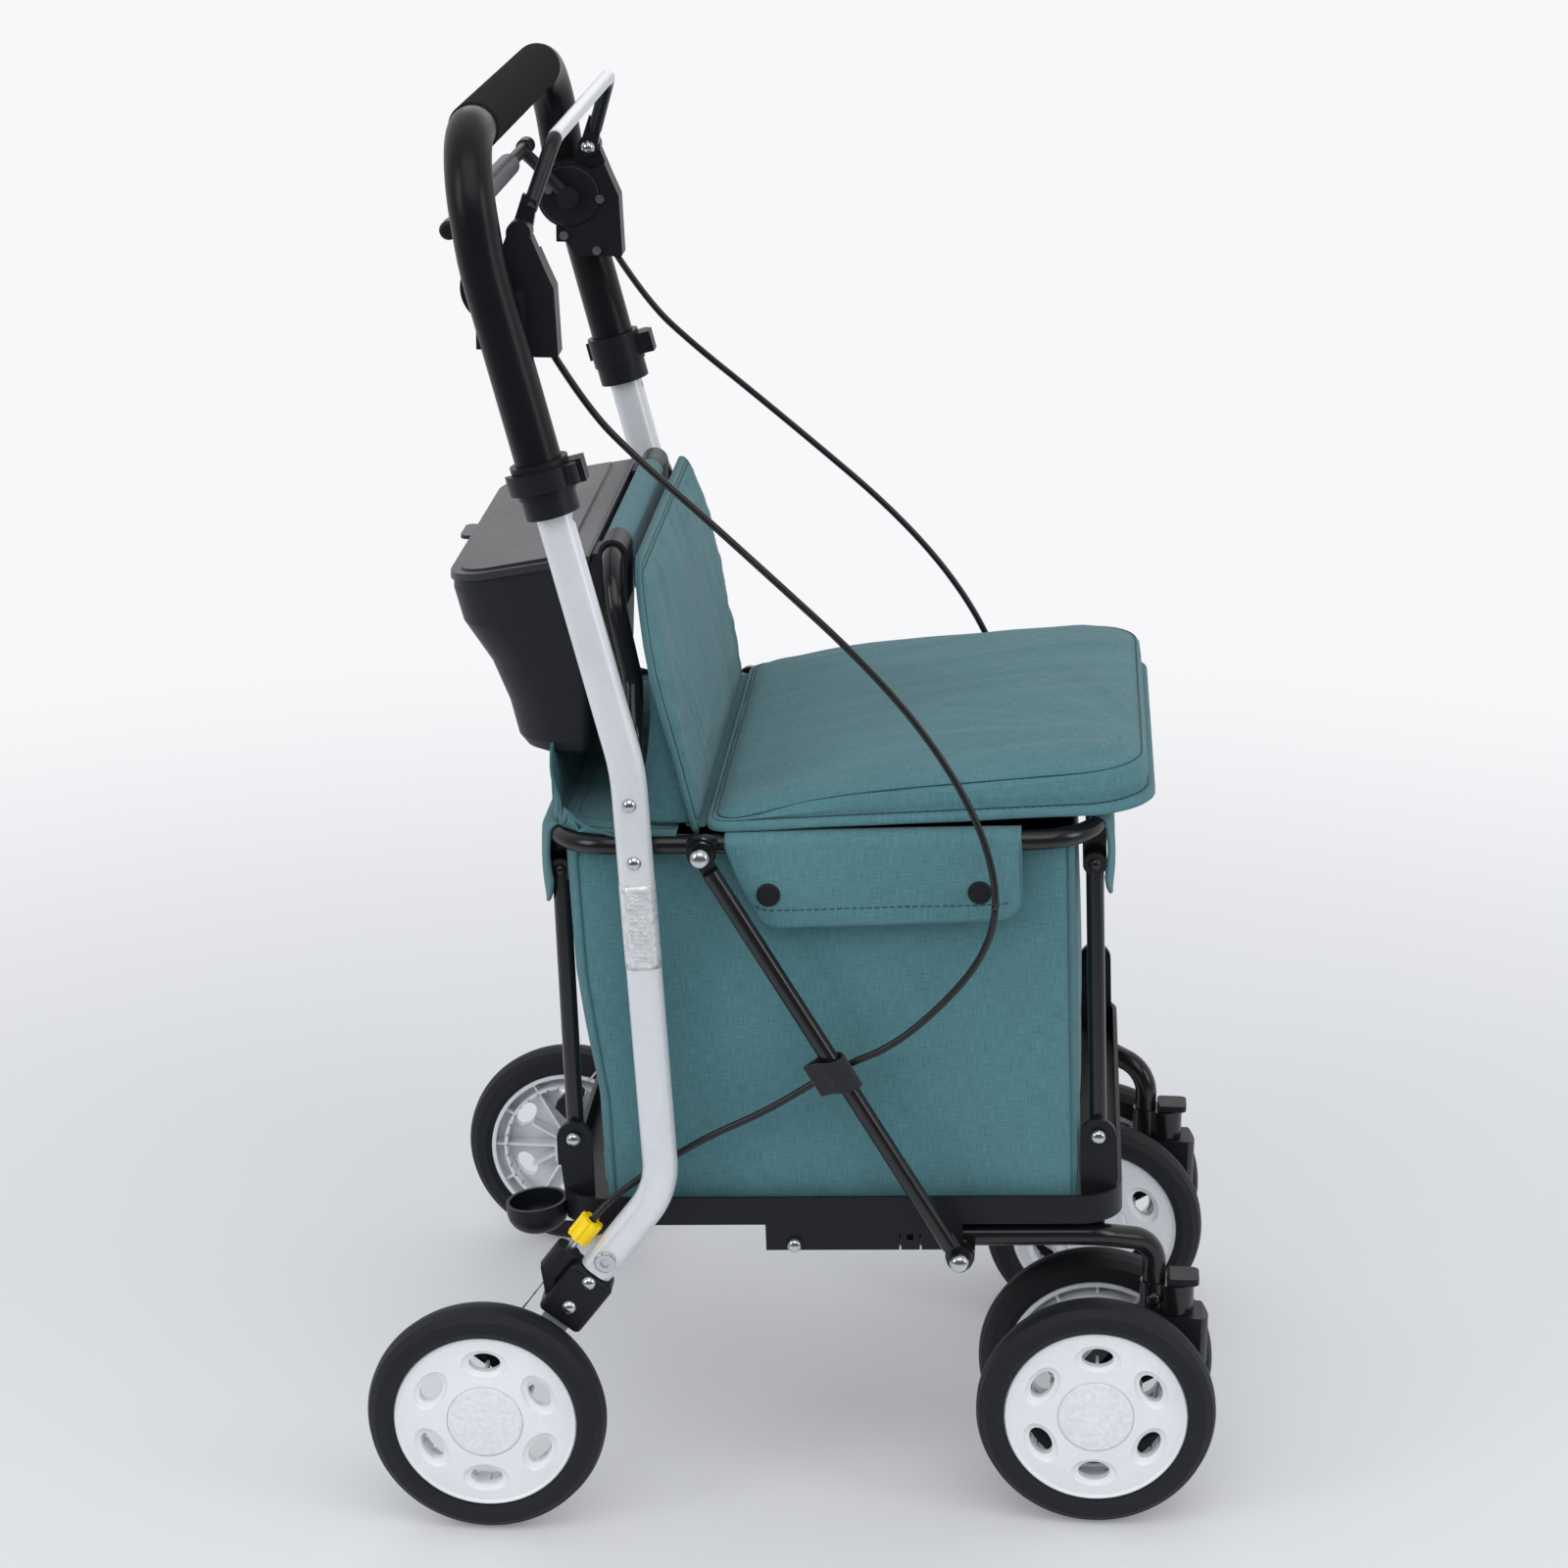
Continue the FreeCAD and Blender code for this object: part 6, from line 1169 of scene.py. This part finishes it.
flap_rear = 160.0
flap_length = 196.0
for side, hand in ((-1, "right"), (1, "left")):
    def flap_surface(u, v, side=side):
        out = flap_rear + flap_length * u + 30.0 * max(0.0, v - 0.35) ** 1.2 * (1 - u)
        section = over_ring_section(side_fall(u, flap_length), 6.0, 1.2 + 0.8 * sin(u * 9.0))
        outward, up = section_at(section, v)
        if v > 0.45:
            outward += crease((out, up, side), 0.9, (0.03, 0.05, 1), 4.0) * (v - 0.45)
        return leaned(out, side * (190.0 + outward), ring_z + up)

    flap = cloth_piece("side_flap_" + hand, flap_surface, (90, 50), 0.0014, "bag_flaps")
    welt("side_flap_edge_" + hand, hem_line(flap_surface, 0.004, 0.02, 35, 80), 0.0011, teal_binding, "frame")
    stitch_line = [flap_surface(0.03 + 0.94 * k / 80, 0.86) + Vector((0, side * 0.0009, 0)) for k in range(81)]
    stitches("side_flap_stitches_" + hand, stitch_line, "frame")

# %% Front flap
front_width = 326.0


def front_surface(u, v):
    side = front_width * (u - 0.5)
    drop = 53.0 - corner_drop(min(u, 1 - u) * front_width, 22.0)
    section = over_ring_section(drop, 4.0, 2.4)
    outward, up = section_at(section, v)
    curve = 4.0 * max(0.0, (abs(side) - 140.0) / 23.0) ** 2
    outward += crease((side, up, 0), 1.4, (0.03, 0.05, 1), 8.0) * max(0.0, v - 0.45)
    return leaned(408.0 + outward - curve, side, ring_z + up)


front_flap = cloth_piece("front_flap", front_surface, (110, 50), 0.0014, "bag_flaps")
welt("front_flap_edge", hem_line(front_surface, 0.002, 0.02, 30, 100), 0.0011, teal_binding, "frame")

# %% [markdown]
# ## Rear cover
# The rear cover lies on the ring behind the seat. At the sides it ends in piping on top of the tube, and
# behind the ring it falls as a skirt with rounded ends. Both sheets follow the ring's own centre line, so
# they stay outside the tube in the corners.

# %% Rear end of the ring
cover_side = 191.5
cover_front = 127.5
cover_draw = (0.489, 0.5)
bend_x = ring_back + ring_corner
ring_half = ring_straight + ring_corner


def ring_rear(y):
    """Centre line of the ring's rear tube and corners: distance from the axle at a side distance."""
    past = max(0.0, abs(y) - ring_straight)
    return bend_x - sqrt(max(0.0, ring_corner ** 2 - min(ring_corner, past) ** 2))

# %% Cloth of the rear cover
def cover_surface(u, v):
    y = cover_side * (2 * u - 1)
    rear = ring_rear(y)
    x = cover_front + (rear - cover_front) * v
    over_tube = min(ring_half - abs(y), x - rear)
    height = ring_r + cloth_gap
    if over_tube > 0:
        rise = sin(pi * min(1.0, (cover_front - x) / 95.0) * 0.9)
        height += 2.4 * (1 - exp(-over_tube / 16.0)) * rise
        wave = crease((x, y, 0), 2.0, (0.02, 0.035, 1), 15.0) + crease((x, y, 0), 0.9, (0.05, 0.02, 1), 5.0)
        height += wave * ease(over_tube / 22.0) * ease((cover_front - x) / 10.0)
    else:
        height -= 0.9 * (abs(y) - ring_half)
    return leaned(x, y, ring_z + height)


def skirt_surface(u, v):
    skirt_half = 168.0
    run = skirt_half * (2 * u - 1)
    past = max(0.0, abs(run) - ring_straight) / ring_corner
    hand = copysign(1.0, run)
    outward = Vector((-cos(past), sin(past) * hand))
    straight = max(-ring_straight, min(ring_straight, run))
    fall = 51.0 - corner_drop(skirt_half - abs(run), 20.0)
    section = over_ring_section(fall, 0.0, 1.8, 1.0)[1:]
    away, up = section_at(section, v)
    away += crease((run, up, 0), 1.5, (0.025, 0.03, 1), 18.0) * max(0.0, v - 0.35)
    place = Vector((bend_x, straight)) + outward * (ring_corner + away)
    return leaned(place.x, place.y, ring_z + up)


for name, surface, counts, thickness in (("cloth", cover_surface, (180, 50), 0.0014),
                                         ("skirt", skirt_surface, (150, 40), 0.0018)):
    draw_up(cloth_piece("seat_rear_cover_" + name, surface, counts, thickness, "seat_rear_cover"), *cover_draw)

# %% Seams of the rear cover
def cover_line(inset, lift):
    """A line on the cover that follows the ring, at a distance inside its centre line."""
    radius = ring_corner - inset
    flat = [(127.0 - 41.5 * k / 20, -(ring_half - inset)) for k in range(21)]
    for k in range(1, 13):
        a = pi * k / 24
        flat.append((bend_x - radius * sin(a), -(ring_straight + radius * cos(a))))
    flat += [(ring_back + inset, -ring_straight + 2 * ring_straight * k / 60) for k in range(1, 31)]
    flat += [(x, -y) for x, y in reversed(flat[:-1])]
    line = []
    for x, y in flat:
        share = (cover_front - x) / (cover_front - ring_rear(y))
        place = cover_surface((y / cover_side + 1) / 2, max(0.0, min(1.0, share)))
        line.append(place + Vector((0, 0, lift / 1000)))
    return line


skirt_hem = hem_line(skirt_surface, 0.0, 0.0375, 20, 140, 1.0)
for name, line, radius, finish in (("rear_cover_edge", skirt_hem, 0.0013, teal_binding),
                                   ("rear_cover_piping", cover_line(-1.2, 0.4), 0.0014, teal_binding),
                                   ("rear_cover_seam_outer", cover_line(7.0, 0.6), 0.0005, seam_thread),
                                   ("rear_cover_seam_inner", cover_line(17.0, 0.6), 0.0009, teal_binding)):
    draw_up(welt(name, line, radius, finish, "frame"), *cover_draw)

# %% [markdown]
# ## Foam grip
# A foam sleeve is pushed over the middle of the handle. It is softer than the tube; its ends are rounded
# off and its skin has fine pores.

# %% Foam grip
grip_low, grip_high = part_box("foam_grip")
grip_centre = (grip_low + grip_high) / 2
grip_half = (grip_high.y - grip_low.y) / 2
grip_bevel = 0.004


def grip_surface(u, v):
    y = -grip_half + 2 * grip_half * v
    end = grip_half - abs(y)
    radius = 0.0166 + 0.00012 * noise.noise(Vector((y * 60, u * 9, 0)))
    if end < grip_bevel:
        radius -= corner_drop(end, grip_bevel) - 0.0002
    a = 2 * pi * u
    return Vector((grip_centre.x + cos(a) * radius, y, grip_centre.z + sin(a) * radius))


grip = sheet_grid("foam_grip_sleeve", grip_surface, 48, 120, closed_u=True)
dress(grip, foam_skin, "handle", "foam_grip")
print("grip", tuple(grip_low), tuple(grip_high))

# %% [markdown]
# ## Reflective tape
# A band of honeycomb tape is stuck round each leg below the seat. It is a thin sleeve just outside the
# oval tube, with a cell pattern and pale pink and blue tints painted into the cells as a painted reflection of
# the light it throws back.

# %% Tape finish
tape_finish, wires, shader = new_finish("honeycomb tape")
where = wires.node("ShaderNodeTexCoord").outputs["Object"]
cell_inputs = {"Vector": where, "Scale": 330.0, "Randomness": 0.35}
cells = wires.node("ShaderNodeTexVoronoi", cell_inputs, feature="DISTANCE_TO_EDGE").outputs["Distance"]
cell_tint = wires.node("ShaderNodeTexVoronoi", cell_inputs, feature="F1")
# Painted reflection: each cell gets a pale tint of random hue, mixed into the tape's grey, standing in for the
# light the tape throws back.
painted_cell_reflection = wires.node("ShaderNodeHueSaturation",
                   {"Saturation": 0.22, "Value": 1.0, "Color": cell_tint.outputs["Color"]})
tape_mix = wires.node("ShaderNodeMix", {0: 0.35, 6: (0.74, 0.75, 0.79, 1), 7: painted_cell_reflection}, data_type="RGBA")
wires.feed(shader, {"Base Color": tape_mix.outputs[2],
                    "Roughness": wires.maths("MULTIPLY_ADD", cells, -0.6, 0.45),
                    "Normal": wires.bump(cells, 0.7, 0.0006), "Metallic": 0.5, "Coat Weight": 0.5})

# %% Reflective tape
# The leg's centre line below the seat, from its low to its high end, as distance from the axle and height.
leg_low = Vector((118.5, 243.0))
leg_high = Vector((97.0, 541.0))
leg_along = (leg_high - leg_low).normalized()
leg_across = Vector((leg_along.y, -leg_along.x))
tube_half = 9.25
for side, hand in ((-1, "right"), (1, "left")):
    def tape_surface(u, v, side=side):
        z = 404.0 + 59.0 * v
        centre = leg_low.lerp(leg_high, (z - leg_low.y) / (leg_high.y - leg_low.y))
        a = 2 * pi * u
        across = copysign(3.0, cos(a)) * min(1.0, abs(cos(a)) * 8) + tube_half * cos(a)
        place = centre + leg_across * across
        return plain(place.x, side * 208.0 + tube_half * sin(a), place.y)

    cloth_piece("reflective_tape_" + hand, tape_surface, (64, 12), 0.00012, finish=tape_finish,
                offset=1.0, closed_u=True)

# %% Update the scene
bpy.context.view_layer.update()
